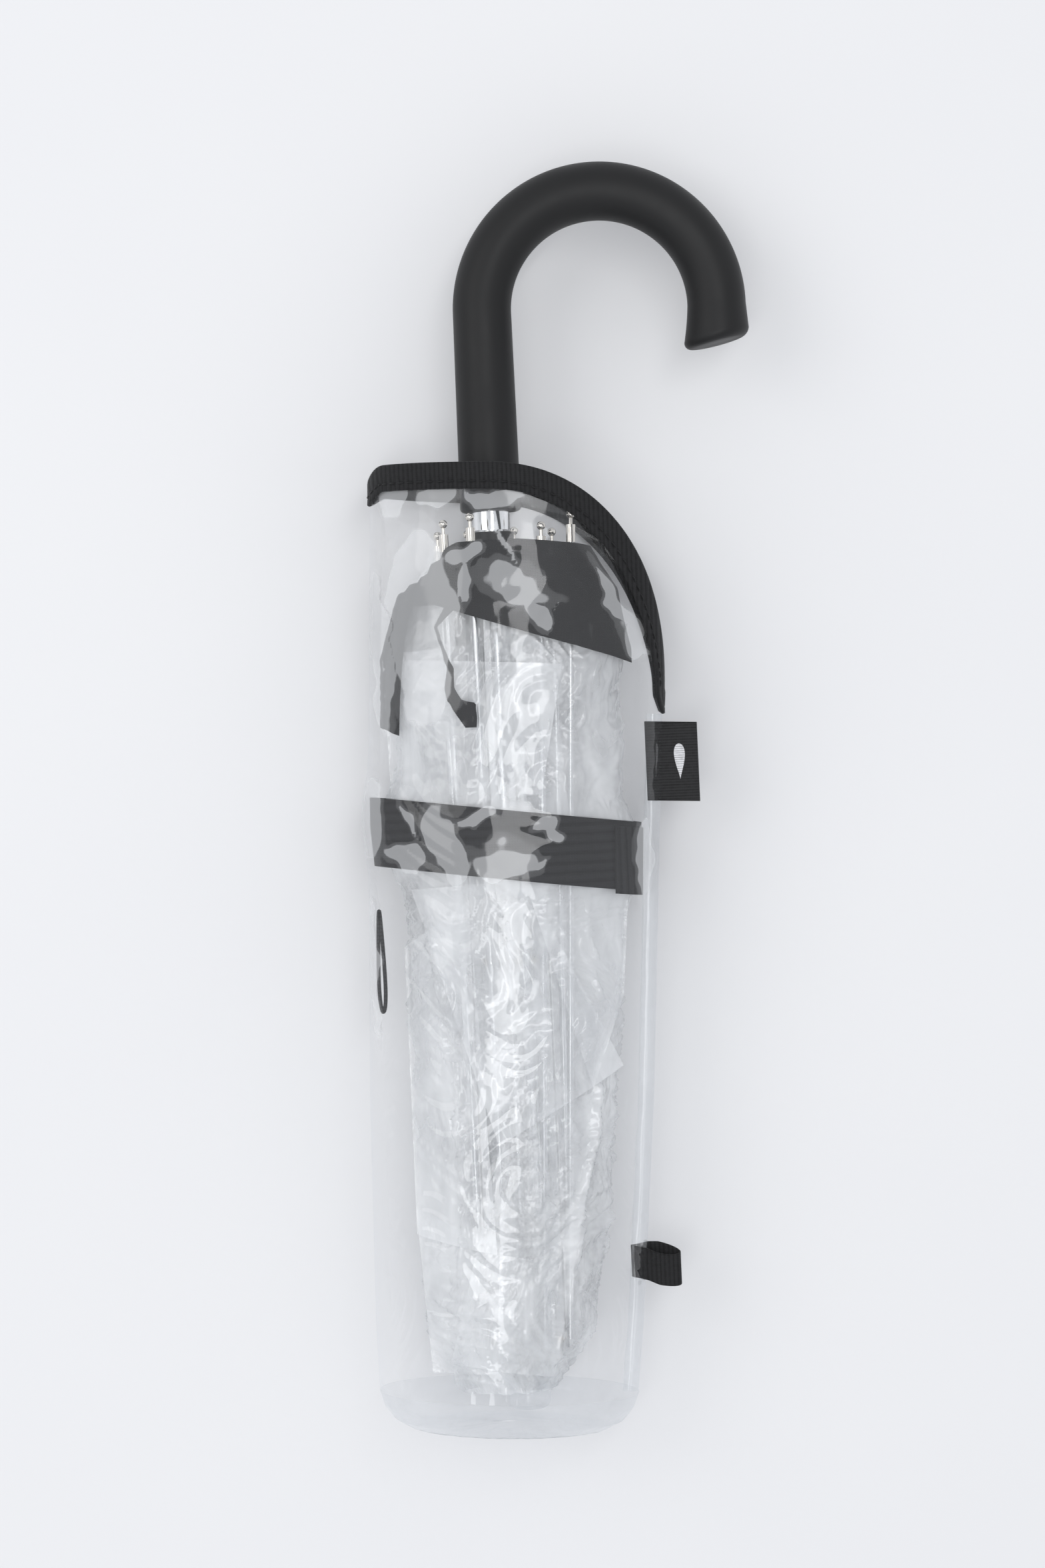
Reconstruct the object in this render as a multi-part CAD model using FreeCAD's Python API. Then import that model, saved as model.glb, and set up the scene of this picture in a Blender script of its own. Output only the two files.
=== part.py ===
"""A compact folding umbrella with a clear film canopy and a crook handle, folded and strapped, lying in its
clear film sleeve.

Everything is worked out in the umbrella's own axes: the shaft is the Y axis with the handle towards +Y, Z is up,
and Y = 0 lies just above the sleeve's mouth. The last step moves all of it so that the origin is the centre of
the footprint, on the surface that the sleeve lies on. Sizes are millimetres and angles are degrees.
"""

import FreeCAD, Part
import math
import os

from FreeCAD import Vector

# ---- Driving dimensions -------------------------------------------------------------------------------------
RIB_COUNT = 8

# Crook handle
HANDLE_ARCH_R = 37.0            # centreline radius of the crook
HANDLE_PIPE_R = 9.2             # section radius round the crook
HANDLE_FOOT_R = 9.6             # section radius at the foot of the leg, which tapers
HANDLE_TIP_R = 9.8              # the crook's free end flares a little
HANDLE_TIP_RUN = 12.5           # straight run at the free end, down the middle
HANDLE_TIP_SLANT = 12.0         # the end face leans: the side that faces the leg reaches further
HANDLE_FOOT_Y = -14.5           # lower end of the leg, inside the sleeve's mouth
HANDLE_ARCH_Y = 48.0            # where the leg turns into the crook
HANDLE_TIP_FILLET = 2.6
HANDLE_FOOT_FILLET = 1.2
HANDLE_SOCKET_DEPTH = 46.0      # how far the shaft goes up the leg
HANDLE_PIN_R = 1.0
HANDLE_PIN_UP = 34.0            # cross pin, above the foot of the leg
HANDLE_PIN_COVER = 1.5          # wall over each end of the pin

# Chrome ferrule in the foot of the handle
FERRULE_R = 5.9
FERRULE_SHOWN = 6.0
FERRULE_SUNK = 10.0

# Telescoping shaft: wall-to-wall gaps are the sliding clearance
OUTER_TUBE_R = 5.0
TUBE_WALL = 0.4
TUBE_CLEARANCE = 0.05
MIDDLE_OVERLAP = 48.0           # middle tube that stays inside the outer one at full stretch
INNER_OVERLAP = 51.0            # inner tube that stays inside the middle one at full stretch
TOP_CATCH_GAP = 16.7            # from the top catch to the end of the middle tube

# Runner, which carries the stretchers
RUNNER_GAP = 0.6                # between the ferrule and the runner
RUNNER_CLEARANCE = 0.15
RUNNER_WALL = 2.0
RUNNER_NECK = 14.0
RUNNER_CROWN_RIM = 1.7          # crown outside the ring wire's line
RUNNER_CROWN = 10.0
RUNNER_WINDOW_DOWN = 4.0        # the window that the top catch's tooth comes into
RUNNER_WINDOW = 6.0
TUBE_TOP_SINK = 0.2             # the tubes' ends lie this far inside the runner

# Top notch, which carries the ribs, and the cap over the canopy's centre
NOTCH_Y = -276.0                # handle-side face of the notch
NOTCH_DEPTH = 14.0
NOTCH_RIM = 1.5                 # notch outside the ring wire's line
CAP_R = 6.5
CAP_DEPTH = 7.0
CAP_FILLET = 2.5
RING_WIRE_R = 0.5
PIVOT_CLEARANCE = 0.08
RING_GAP = 2.3                  # from the tube to the centre of a ring wire
CROWN_WEB = 1.5                 # wall left at the closed end of the slots

# Rib sections, for the rib that stands on +Z; the others are turned round the shaft
SLOT_WIDTH = 1.9
TAB_WIDTH = 1.5                 # every eye tab, inside a slot or a channel
TAB_LENGTH = 5.0
TAB_PAST_RING = 1.6             # an eye's end, past its ring wire along the shaft
TAB_OVER_RING = 1.1             # and past it square to the shaft
EYE_CLEARANCE = 0.1             # more room for an eye on a ring, which is curved
CROWN_GAP = 0.5                 # between a crown's face and the bars that fold against it
WEB_CLEARANCE = 0.15            # between a tab and the channel's web over it
CHANNEL_WALL = 0.5
STRETCHER_WIDTH = 2.2
STRETCHER_HEIGHT = 1.6
STRETCHER_JOINT = 127.2         # stretcher's rivet, along the inner rib from the notch's ring wire
STRETCHER_LIFT = 0.9            # gap between the tube and the stretchers
INNER_RIB_WIDTH = 3.0
INNER_RIB_HEIGHT = 2.4
INNER_RIB_LENGTH = 168.0
MIDDLE_RIB_WIDTH = 2.8
MIDDLE_RIB_HEIGHT = 2.2
OUTER_JOINT_UP = 1.0            # joint of the middle and outer ribs, folded down beside the notch
LAYER_GAP = 0.5                 # radial gap between one section of a rib and the next
OUTER_RIB_R = 1.0
RIVET_R = 0.6
RIVET_HEAD_R = 1.1
RIVET_HEAD = 0.4

# Ball tips. The outer ribs are springy wires that splay, so each tip has its own place: across, up, along.
TIP_BALL_R = 1.35
TIP_NECK_R = 0.55
TIP_NECK = 2.4
TIP_COLLAR_R = 1.45
TIP_COLLAR = 5.0
TIP_PLATE = 0.5                 # closes the collar's end
TIP_WALL_CLEARANCE = 0.05
TIP_PLACES = [
    (15.5, 16.5, -20.8),
    (25.0, 6.0, -16.8),
    (19.0, -9.0, -21.0),
    (7.0, -18.0, -19.5),
    (-8.0, -17.6, -20.0),
    (-17.3, -8.0, -20.8),
    (-15.0, 11.0, -18.6),
    (-6.5, 18.6, -17.4),
]

# Spring catches, one in each tube. Each is a leaf with a tooth that stands on +Z, between two ribs.
CATCH_LEAF = 0.4
CATCH_WIDTH = 1.6
CATCH_SLOT_CLEARANCE = 0.15
CATCH_SINK = 0.15               # a tooth that is pressed in lies this far under its tube's surface
TOP_CATCH_UP = 40.0             # from the notch to the tooth's steep side, which holds the open runner
TOP_CATCH_RISE = 1.8
CATCH_TOOTH = 13.0
CATCH_TAIL = 10.0
CATCH_LIFT = 0.9                # height of the leaf under the bore of its tube
CATCH_INSET = 6.0               # from the end of a sliding tube to its catch

# Folded canopy: left edge, right edge, and how far its half thickness is under the shaft's height over the
# surface. It narrows to the rib tips and to the notch.
CANOPY_WALL = 1.8
CANOPY_TOP_Y = -24.0
CANOPY_BODY = [                 # each after its share of the way from the hem to the notch
    (0.0, (-22.5, 30.0, 2.9)),
    (0.0635, (-31.5, 39.5, 2.5)),
    (0.1429, (-38.0, 43.5, 2.3)),
    (0.3492, (-39.6, 42.4, 2.3)),
    (0.5, (-37.0, 40.5, 2.3)),
    (0.6984, (-37.0, 37.0, 2.5)),
    (0.881, (-37.5, 31.0, 3.3)),
    (1.0, (-35.0, 24.0, 6.0)),
]
CANOPY_NECK = [                 # each after its distance past the notch's far face
    (0.0, (-27.0, 14.0, 13.5)),
    (4.0, (-20.0, 9.5, 18.0)),
]
HEM_END = -54.0                 # the black hem is the first stretch of the folded canopy

# Closing strap round the canopy, with its hook patch, and the small elastic loop beside it
STRAP_WIDTH = 21.5
STRAP_THICKNESS = 0.9
STRAP_MIDDLE = -119.0
STRAP_LEAN = 8.0
STRAP_GAP = 0.05
PATCH_LENGTH = 26.0
PATCH_INSET = 2.0
PATCH_THICKNESS = 0.5
PATCH_OFF_CENTRE = 22.0
LOOP_LENGTH = 33.0
LOOP_WIDTH = 4.2
LOOP_SLIT = 1.0
LOOP_SLIT_LENGTH = 15.0
LOOP_THICKNESS = 1.2
LOOP_DOWN = 19.0                # the loop's top, from the strap's middle
LOOP_GAP = 1.4

# Film sleeve. Its axis is turned from the shaft's, and its mouth's centre stands beside the shaft.
SLEEVE_SKEW = 3.05
SLEEVE_OFFSET = 9.2
SLEEVE_FILM = 0.4
AXIS_HEIGHT = 27.5              # the shaft's height over the surface; it also sets the sleeve's flat underside
SLEEVE_TOP_Y = 4.0
BASE_OVER_CAP = 5.5             # the base's seam stands this far up from the end of the cap
SLEEVE_BODY = [                 # half width, and half thickness over AXIS_HEIGHT, after the share of the length
    (0.0, (46.8, 0.9)),
    (0.32, (46.4, 0.9)),
    (0.69, (45.0, 0.8)),
    (0.93, (42.4, 0.7)),
    (1.0, (41.0, 0.4)),
]
BASE_BODY = [                   # the same, after the distance past the film's lower end
    (0.0, (41.0, 0.4)),
    (4.5, (39.6, -0.1)),
    (8.5, (36.6, -1.5)),
    (11.0, (32.0, -4.0)),
]
MOUTH_LEVEL = -2.5
MOUTH_TURN_X = -10.0            # the mouth is level up to here, and then falls to the seam
MOUTH_FALL = 68.0
MOUTH_POWER = 2.2
MOUTH_POINTS = 14
BINDING_WIDTH = 7.6
BINDING_THICKNESS = 0.6
BINDING_LIP = 0.6
SEAM_WIDTH = 4.0
SEAM_THICKNESS = 0.9
SEAM_CLEARANCE = 0.05

# Woven label and hanging loop, both caught in the seam
LABEL_DOWN = 2.4                # the label's top, from the binding's end at the seam
LABEL_HEIGHT = 25.0
LABEL_OUT = 10.6
LABEL_THICKNESS = 0.8
HANG_LOOP_UP = 46.0             # the loop's top, from the base's seam
HANG_LOOP_WIDTH = 10.0
HANG_LOOP_OUT = 10.6
HANG_LOOP_THICKNESS = 4.4
HANG_LOOP_TAPE = 0.8
SEAM_CATCH = 0.15               # what stands out of the seam starts this far outside the film

# ---- Values that follow from them ---------------------------------------------------------------------------
ORIGIN = Vector(0, 0, 0)
ALONG = Vector(0, 1, 0)
ACROSS = Vector(1, 0, 0)
UP = Vector(0, 0, 1)
BIG = 400.0

OUTER_TUBE_BORE = OUTER_TUBE_R - TUBE_WALL
MIDDLE_TUBE_R = OUTER_TUBE_BORE - TUBE_CLEARANCE
MIDDLE_TUBE_BORE = MIDDLE_TUBE_R - TUBE_WALL
INNER_TUBE_R = MIDDLE_TUBE_BORE - TUBE_CLEARANCE
INNER_TUBE_BORE = INNER_TUBE_R - TUBE_WALL

RUNNER_R = OUTER_TUBE_R + RUNNER_WALL
RING_R = OUTER_TUBE_R + RING_GAP
RUNNER_CROWN_R = RING_R + RUNNER_CROWN_RIM
NOTCH_R = RING_R + NOTCH_RIM

FERRULE_Y = HANDLE_FOOT_Y - FERRULE_SHOWN
RUNNER_Y = FERRULE_Y - RUNNER_GAP
RUNNER_CROWN_Y = RUNNER_Y - RUNNER_NECK
RUNNER_END_Y = RUNNER_CROWN_Y - RUNNER_CROWN
TUBE_TOP_Y = RUNNER_Y - TUBE_TOP_SINK
NOTCH_END_Y = NOTCH_Y - NOTCH_DEPTH
TOP_CATCH_Y = NOTCH_Y + TOP_CATCH_UP
MIDDLE_TUBE_END_Y = TOP_CATCH_Y + TOP_CATCH_GAP
MIDDLE_TRAVEL = TUBE_TOP_Y - MIDDLE_TUBE_END_Y - MIDDLE_OVERLAP
INNER_TUBE_END_Y = MIDDLE_TUBE_END_Y + CATCH_INSET + CATCH_TOOTH + CATCH_TAIL
HANDLE_TRAVEL = TUBE_TOP_Y - INNER_TUBE_END_Y - INNER_OVERLAP
INNER_TUBE_TOP_Y = HANDLE_FOOT_Y + HANDLE_SOCKET_DEPTH

NOTCH_RING_Y = NOTCH_Y - NOTCH_DEPTH / 2
RUNNER_RING_Y = RUNNER_CROWN_Y - RUNNER_CROWN / 2

STRETCHER_IN = OUTER_TUBE_R + STRETCHER_LIFT
STRETCHER_OUT = STRETCHER_IN + STRETCHER_HEIGHT
INNER_RIB_IN = STRETCHER_OUT + LAYER_GAP
INNER_RIB_OUT = INNER_RIB_IN + INNER_RIB_HEIGHT
MIDDLE_RIB_IN = INNER_RIB_OUT + LAYER_GAP
MIDDLE_RIB_OUT = MIDDLE_RIB_IN + MIDDLE_RIB_HEIGHT
OUTER_RIB_AT = MIDDLE_RIB_OUT + LAYER_GAP + OUTER_RIB_R

STRETCHER_JOINT_Y = NOTCH_RING_Y + STRETCHER_JOINT
STRETCHER_END_Y = STRETCHER_JOINT_Y - TAB_LENGTH / 2
INNER_JOINT_Y = NOTCH_RING_Y + INNER_RIB_LENGTH
OUTER_JOINT_Y = NOTCH_Y + OUTER_JOINT_UP
STRETCHER_PIVOT_R = (INNER_RIB_IN + INNER_RIB_OUT - CHANNEL_WALL) / 2
OUTER_PIVOT_R = (MIDDLE_RIB_IN + CHANNEL_WALL + MIDDLE_RIB_OUT) / 2

SLEEVE_END_Y = NOTCH_END_Y - CAP_DEPTH + BASE_OVER_CAP
CANOPY_SECTIONS = [(CANOPY_TOP_Y + share * (NOTCH_Y - CANOPY_TOP_Y), left, right, AXIS_HEIGHT - under)
                   for share, (left, right, under) in CANOPY_BODY]
CANOPY_SECTIONS += [(NOTCH_END_Y - past, left, right, AXIS_HEIGHT - under)
                    for past, (left, right, under) in CANOPY_NECK]
SLEEVE_SECTIONS = [(SLEEVE_TOP_Y + share * (SLEEVE_END_Y - SLEEVE_TOP_Y), width, AXIS_HEIGHT + over)
                   for share, (width, over) in SLEEVE_BODY]
BASE_SECTIONS = [(SLEEVE_END_Y - past, width, AXIS_HEIGHT + over) for past, (width, over) in BASE_BODY]
SEAM_TOP = MOUTH_LEVEL - MOUTH_FALL - BINDING_WIDTH
LABEL_TOP = SEAM_TOP - LABEL_DOWN
HANG_LOOP_TOP = SLEEVE_END_Y + HANG_LOOP_UP
LOOP_TOP = STRAP_MIDDLE - LOOP_DOWN


# ---- Small helpers ------------------------------------------------------------------------------------------
def rod(radius, y0, y1, x=0.0, z=0.0):
    """A solid cylinder along the shaft, from y0 to y1."""
    low, high = min(y0, y1), max(y0, y1)
    return Part.makeCylinder(radius, high - low, Vector(x, low, z), ALONG)


def tube(outer, bore, y0, y1):
    return rod(outer, y0, y1).cut(rod(bore, min(y0, y1) - 1, max(y0, y1) + 1))


def cone(radius0, y0, radius1, y1, x=0.0):
    """A cone along the shaft, with radius0 at y0 and radius1 at y1, which is the higher."""
    return Part.makeCone(radius0, radius1, y1 - y0, Vector(x, y0, 0), ALONG)


def block(x0, x1, y0, y1, z0, z1):
    low = Vector(min(x0, x1), min(y0, y1), min(z0, z1))
    return Part.makeBox(abs(x1 - x0), abs(y1 - y0), abs(z1 - z0), low)


def cross_pin(radius, width, y, z):
    """A pin across a rib, along X, with its middle on the YZ plane."""
    return Part.makeCylinder(radius, width, Vector(-width / 2, y, z), ACROSS)


def between(radius, start, end):
    """A solid cylinder from one point to another."""
    return Part.makeCylinder(radius, (end - start).Length, start, end - start)


def turned(shape, degrees):
    """The shape turned round the shaft."""
    return shape.copy().rotate(ORIGIN, ALONG, degrees)


def rib_angle(index):
    """Where a rib stands round the shaft: the gap between two ribs is on +Z, where the catches are."""
    return 360.0 / RIB_COUNT * (index + 0.5)


def ring_of(shape):
    """One fused shape with a copy at each rib."""
    copies = [turned(shape, rib_angle(i)) for i in range(RIB_COUNT)]
    return copies[0].fuse(copies[1:])


def oval(x_centre, y, half_width, half_thickness):
    """A closed ellipse wire square to the shaft."""
    ellipse = Part.Ellipse(ORIGIN, half_width, half_thickness)
    wire = Part.Wire([ellipse.toShape()])
    wire.rotate(ORIGIN, ACROSS, 90)
    wire.translate(Vector(x_centre, y, 0))
    return wire


def canopy_loft(inset):
    """The folded canopy's solid outside shape, with its walls taken in by inset."""
    ovals = []
    for y, left, right, half in CANOPY_SECTIONS:
        width = (right - left) / 2 - inset
        ovals.append(oval((left + right) / 2, y, width, half - inset))
    return Part.makeLoft(ovals, True, True)


def section_at(sections, y):
    """The values of a list of sections at a place along it, in straight lines between them."""
    for start, end in zip(sections, sections[1:]):
        if y >= end[0]:
            break
    share = (y - start[0]) / (end[0] - start[0])
    return [a + share * (b - a) for a, b in zip(start[1:], end[1:])]


def sleeve_loft(sections, inset):
    """The sleeve's solid outside shape, in the sleeve's own axes, flat where it lies on the surface."""
    ovals = [oval(0, y, width - inset, half - inset) for y, width, half in sections]
    above = block(-BIG, BIG, -BIG, BIG, -AXIS_HEIGHT + inset, BIG)
    return Part.makeLoft(ovals, True, True).common(above)


def sleeve_half_width(y):
    """The sleeve's outside half width at a place along it."""
    return section_at(SLEEVE_SECTIONS, y)[0]


def on_sleeve(shape):
    """A shape made in the sleeve's own axes, put where the sleeve lies."""
    placed = shape.copy()
    placed.rotate(ORIGIN, UP, -SLEEVE_SKEW)
    placed.translate(Vector(SLEEVE_OFFSET, 0, 0))
    return placed


# ---- Handle -------------------------------------------------------------------------------------------------
def make_handle():
    """The crook: a tapered leg, a half turn and a short flared end, bored for the shaft, ferrule and pin."""
    leg = cone(HANDLE_FOOT_R, HANDLE_FOOT_Y, HANDLE_PIPE_R, HANDLE_ARCH_Y)
    foot_edges = [e for e in leg.Edges if abs(e.CenterOfMass.y - HANDLE_FOOT_Y) < 0.01 and len(e.Vertexes) == 1]
    leg = leg.makeFillet(HANDLE_FOOT_FILLET, foot_edges)
    circle = Part.Wire([Part.Circle(Vector(0, HANDLE_ARCH_Y, 0), ALONG, HANDLE_PIPE_R).toShape()])
    arch = Part.Face(circle).revolve(Vector(HANDLE_ARCH_R, HANDLE_ARCH_Y, 0), UP, -180)
    tip = slanted_tip()
    body = arch.fuse([leg, tip])
    socket = rod(INNER_TUBE_R, HANDLE_FOOT_Y - 1, INNER_TUBE_TOP_Y)
    seat = rod(FERRULE_R, HANDLE_FOOT_Y - 1, HANDLE_FOOT_Y + FERRULE_SUNK)
    return body.cut([socket, seat, make_handle_pin()])


def slanted_tip():
    """The crook's free end: a flared pipe with a leaning, rounded end face."""
    x, middle = 2 * HANDLE_ARCH_R, HANDLE_ARCH_Y - HANDLE_TIP_RUN
    longest = middle - 2 * HANDLE_TIP_R * math.tan(math.radians(HANDLE_TIP_SLANT))
    tip = cone(HANDLE_TIP_R, longest, HANDLE_PIPE_R, HANDLE_ARCH_Y, x)
    past = block(x - BIG, x + BIG, middle - BIG, middle, -BIG, BIG)
    past.rotate(Vector(x, middle, 0), UP, HANDLE_TIP_SLANT)
    tip = tip.cut(past)
    rim = min(tip.Edges, key=lambda edge: edge.BoundBox.YMin + edge.BoundBox.YMax)
    return tip.makeFillet(HANDLE_TIP_FILLET, [rim])


def make_handle_pin():
    """The cross pin, moulded into the leg, which stops short of its surface."""
    reach = HANDLE_PIPE_R - HANDLE_PIN_COVER
    return Part.makeCylinder(HANDLE_PIN_R, 2 * reach, Vector(0, HANDLE_FOOT_Y + HANDLE_PIN_UP, -reach), UP)


def make_ferrule():
    return tube(FERRULE_R, INNER_TUBE_R, FERRULE_Y, HANDLE_FOOT_Y + FERRULE_SUNK)


# ---- Shaft --------------------------------------------------------------------------------------------------
def catch_slot(tooth_y):
    """The slot that a catch's tooth comes out of, through one tube wall."""
    side = CATCH_WIDTH / 2 + CATCH_SLOT_CLEARANCE
    end = tooth_y - CATCH_TOOTH - CATCH_SLOT_CLEARANCE
    return block(-side, side, tooth_y + CATCH_SLOT_CLEARANCE, end, 0, OUTER_TUBE_R + 1)


def make_catch(bore, tooth_y, tooth_top):
    """A leaf under a tube's bore with a ramped tooth that comes out through the tube's slot."""
    leaf_top = bore - CATCH_LIFT
    leaf_start, leaf_end = tooth_y - CATCH_TOOTH - CATCH_TAIL, tooth_y
    leaf = block(-CATCH_WIDTH / 2, CATCH_WIDTH / 2, leaf_start, leaf_end, leaf_top - CATCH_LEAF, leaf_top)
    profile = [
        Vector(-CATCH_WIDTH / 2, tooth_y, leaf_top),
        Vector(-CATCH_WIDTH / 2, tooth_y, tooth_top),
        Vector(-CATCH_WIDTH / 2, tooth_y - CATCH_TOOTH / 3, tooth_top),
        Vector(-CATCH_WIDTH / 2, tooth_y - CATCH_TOOTH, leaf_top),
    ]
    tooth = Part.Face(Part.makePolygon(profile + profile[:1])).extrude(ACROSS * CATCH_WIDTH)
    return leaf.fuse(tooth)


def middle_catch_y():
    return MIDDLE_TUBE_END_Y + CATCH_INSET + CATCH_TOOTH


def inner_catch_y():
    return INNER_TUBE_END_Y + CATCH_INSET + CATCH_TOOTH


def make_shaft(parts):
    """Three tubes that slide in one another, each with its spring catch and a window for the next one's."""
    outer = tube(OUTER_TUBE_R, OUTER_TUBE_BORE, NOTCH_END_Y + 1, TUBE_TOP_Y)
    windows = [catch_slot(TOP_CATCH_Y), catch_slot(middle_catch_y() + MIDDLE_TRAVEL)]
    parts["shaft_outer_tube"] = outer.cut(windows)
    middle = tube(MIDDLE_TUBE_R, MIDDLE_TUBE_BORE, MIDDLE_TUBE_END_Y, TUBE_TOP_Y)
    windows = [catch_slot(middle_catch_y()), catch_slot(inner_catch_y() + HANDLE_TRAVEL)]
    parts["shaft_middle_tube"] = middle.cut(windows)
    inner = tube(INNER_TUBE_R, INNER_TUBE_BORE, INNER_TUBE_END_Y, INNER_TUBE_TOP_Y)
    parts["shaft_inner_tube"] = inner.cut([catch_slot(inner_catch_y()), make_handle_pin()])
    top = OUTER_TUBE_R + TOP_CATCH_RISE
    parts["top_catch"] = make_catch(OUTER_TUBE_BORE, TOP_CATCH_Y, top)
    parts["middle_catch"] = make_catch(MIDDLE_TUBE_BORE, middle_catch_y(), MIDDLE_TUBE_R - CATCH_SINK)
    parts["inner_catch"] = make_catch(INNER_TUBE_BORE, inner_catch_y(), INNER_TUBE_R - CATCH_SINK)


# ---- Runner and notch ---------------------------------------------------------------------------------------
def ring_wire(y, extra=0.0):
    """The wire that the ribs or stretchers turn on: a ring round the shaft."""
    return Part.makeTorus(RING_R, RING_WIRE_R + extra, Vector(0, y, 0), ALONG)


def crown_slots(y0, y1, radius):
    """A slot for each rib, open to the outside and to both faces of the crown."""
    low = OUTER_TUBE_R + STRETCHER_LIFT / 2
    one = block(-SLOT_WIDTH / 2, SLOT_WIDTH / 2, y0, y1, low, radius + 1)
    return ring_of(one)


def make_runner():
    bore = OUTER_TUBE_R + RUNNER_CLEARANCE
    neck = tube(RUNNER_R, bore, RUNNER_Y, RUNNER_CROWN_Y)
    crown = tube(RUNNER_CROWN_R, bore, RUNNER_CROWN_Y, RUNNER_END_Y)
    slots = crown_slots(RUNNER_END_Y - 1, RUNNER_CROWN_Y - CROWN_WEB, RUNNER_CROWN_R)
    window_y = RUNNER_Y - RUNNER_WINDOW_DOWN
    window = block(-CATCH_WIDTH, CATCH_WIDTH, window_y, window_y - RUNNER_WINDOW, 0, RUNNER_R + 1)
    return neck.fuse(crown).cut([slots, window, ring_wire(RUNNER_RING_Y, PIVOT_CLEARANCE)])


def make_notch():
    body = tube(NOTCH_R, OUTER_TUBE_R, NOTCH_END_Y, NOTCH_Y)
    slots = crown_slots(NOTCH_Y + 1, NOTCH_END_Y + CROWN_WEB, NOTCH_R)
    return body.cut([slots, ring_wire(NOTCH_RING_Y, PIVOT_CLEARANCE)])


def make_cap():
    """The cap over the centre of the canopy, which plugs the end of the shaft."""
    end = NOTCH_END_Y - CAP_DEPTH
    dome = rod(CAP_R, NOTCH_END_Y, end)
    rim = [e for e in dome.Edges if abs(e.CenterOfMass.y - end) < 0.01 and len(e.Vertexes) == 1]
    return dome.makeFillet(CAP_FILLET, rim)


# ---- Ribs ---------------------------------------------------------------------------------------------------
def eye_tab(y, z0, z1, pivot_y, pivot_z, radius, length=TAB_LENGTH):
    """A flat tab round a pivot hole."""
    tab = block(-TAB_WIDTH / 2, TAB_WIDTH / 2, y - length / 2, y + length / 2, z0, z1)
    return tab.cut(cross_pin(radius + PIVOT_CLEARANCE, 2 * TAB_WIDTH, pivot_y, pivot_z))


def ring_hole(y):
    """The hole of an eye that turns on a ring wire."""
    return cross_pin(RING_WIRE_R + PIVOT_CLEARANCE + EYE_CLEARANCE, 10, y, RING_R)


def pivot_hole(y, z):
    return cross_pin(RIVET_R + PIVOT_CLEARANCE, 10, y, z)


def make_stretcher():
    """From the ring of the runner to a rivet in the inner rib."""
    start = RUNNER_END_Y - CROWN_GAP
    bar = block(-STRETCHER_WIDTH / 2, STRETCHER_WIDTH / 2, start, STRETCHER_END_Y, STRETCHER_IN, STRETCHER_OUT)
    side, end = TAB_WIDTH / 2, RUNNER_RING_Y + TAB_PAST_RING
    root = block(-side, side, start, end, STRETCHER_IN, RING_R + TAB_OVER_RING).cut(ring_hole(RUNNER_RING_Y))
    top = INNER_RIB_OUT - CHANNEL_WALL - WEB_CLEARANCE
    eye = eye_tab(STRETCHER_JOINT_Y, STRETCHER_IN, top, STRETCHER_JOINT_Y, STRETCHER_PIVOT_R, RIVET_R)
    return bar.fuse([root, eye])


def make_inner_rib():
    """A channel that opens to the shaft, with a flat eye in the notch; its far end takes the middle rib."""
    start, end = NOTCH_Y + CROWN_GAP, INNER_JOINT_Y + TAB_LENGTH / 2
    side = INNER_RIB_WIDTH / 2
    channel = block(-side, side, start, end, INNER_RIB_IN, INNER_RIB_OUT)
    groove = block(CHANNEL_WALL - side, side - CHANNEL_WALL, start - 1, end + 1, 0, INNER_RIB_OUT - CHANNEL_WALL)
    web_end = block(CHANNEL_WALL - side, side - CHANNEL_WALL, INNER_JOINT_Y - TAB_LENGTH, end + 1, 0, BIG)
    channel = channel.cut([groove, web_end])
    root_start, root_end = start + TAB_LENGTH, NOTCH_RING_Y - TAB_PAST_RING
    root = block(-TAB_WIDTH / 2, TAB_WIDTH / 2, root_start, root_end, RING_R - TAB_OVER_RING, INNER_RIB_OUT)
    root = root.cut(ring_hole(NOTCH_RING_Y))
    holes = [pivot_hole(y, STRETCHER_PIVOT_R) for y in (INNER_JOINT_Y, STRETCHER_JOINT_Y)]
    return channel.cut(holes).fuse(root)


def make_middle_rib():
    """A channel that opens outwards: one end has a tab into the inner rib, the other takes the outer rib."""
    start, end = OUTER_JOINT_Y - TAB_LENGTH / 2, INNER_JOINT_Y + TAB_LENGTH / 2
    side = MIDDLE_RIB_WIDTH / 2
    channel = block(-side, side, start, end, MIDDLE_RIB_IN, MIDDLE_RIB_OUT)
    inside = side - CHANNEL_WALL
    groove = block(-inside, inside, start - 1, end + 1, MIDDLE_RIB_IN + CHANNEL_WALL, BIG)
    low = STRETCHER_PIVOT_R - RIVET_HEAD_R
    tab = eye_tab(INNER_JOINT_Y, low, MIDDLE_RIB_IN + CHANNEL_WALL, INNER_JOINT_Y, STRETCHER_PIVOT_R, RIVET_R)
    return channel.cut([groove, pivot_hole(OUTER_JOINT_Y, OUTER_PIVOT_R)]).fuse(tab)


def outer_rib_line(index):
    """The outer rib's two ends, as a straight wire from its joint to its collar, and its tip's ball."""
    start = turned(Part.Vertex(0, OUTER_JOINT_Y, OUTER_RIB_AT), rib_angle(index)).Point
    across, up, along = TIP_PLACES[index]
    return start, Vector(across, along, up)


def make_outer_rib(index):
    """A round wire with a flattened eye that turns in the middle rib."""
    start, ball = outer_rib_line(index)
    way = (ball - start).normalize()
    wire = between(OUTER_RIB_R, start, ball - way * (TIP_NECK + TIP_BALL_R))
    low = MIDDLE_RIB_IN + CHANNEL_WALL + EYE_CLEARANCE
    eye = eye_tab(OUTER_JOINT_Y, low, OUTER_RIB_AT, OUTER_JOINT_Y, OUTER_PIVOT_R, RIVET_R)
    return wire.fuse(turned(eye, rib_angle(index)))


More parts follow.
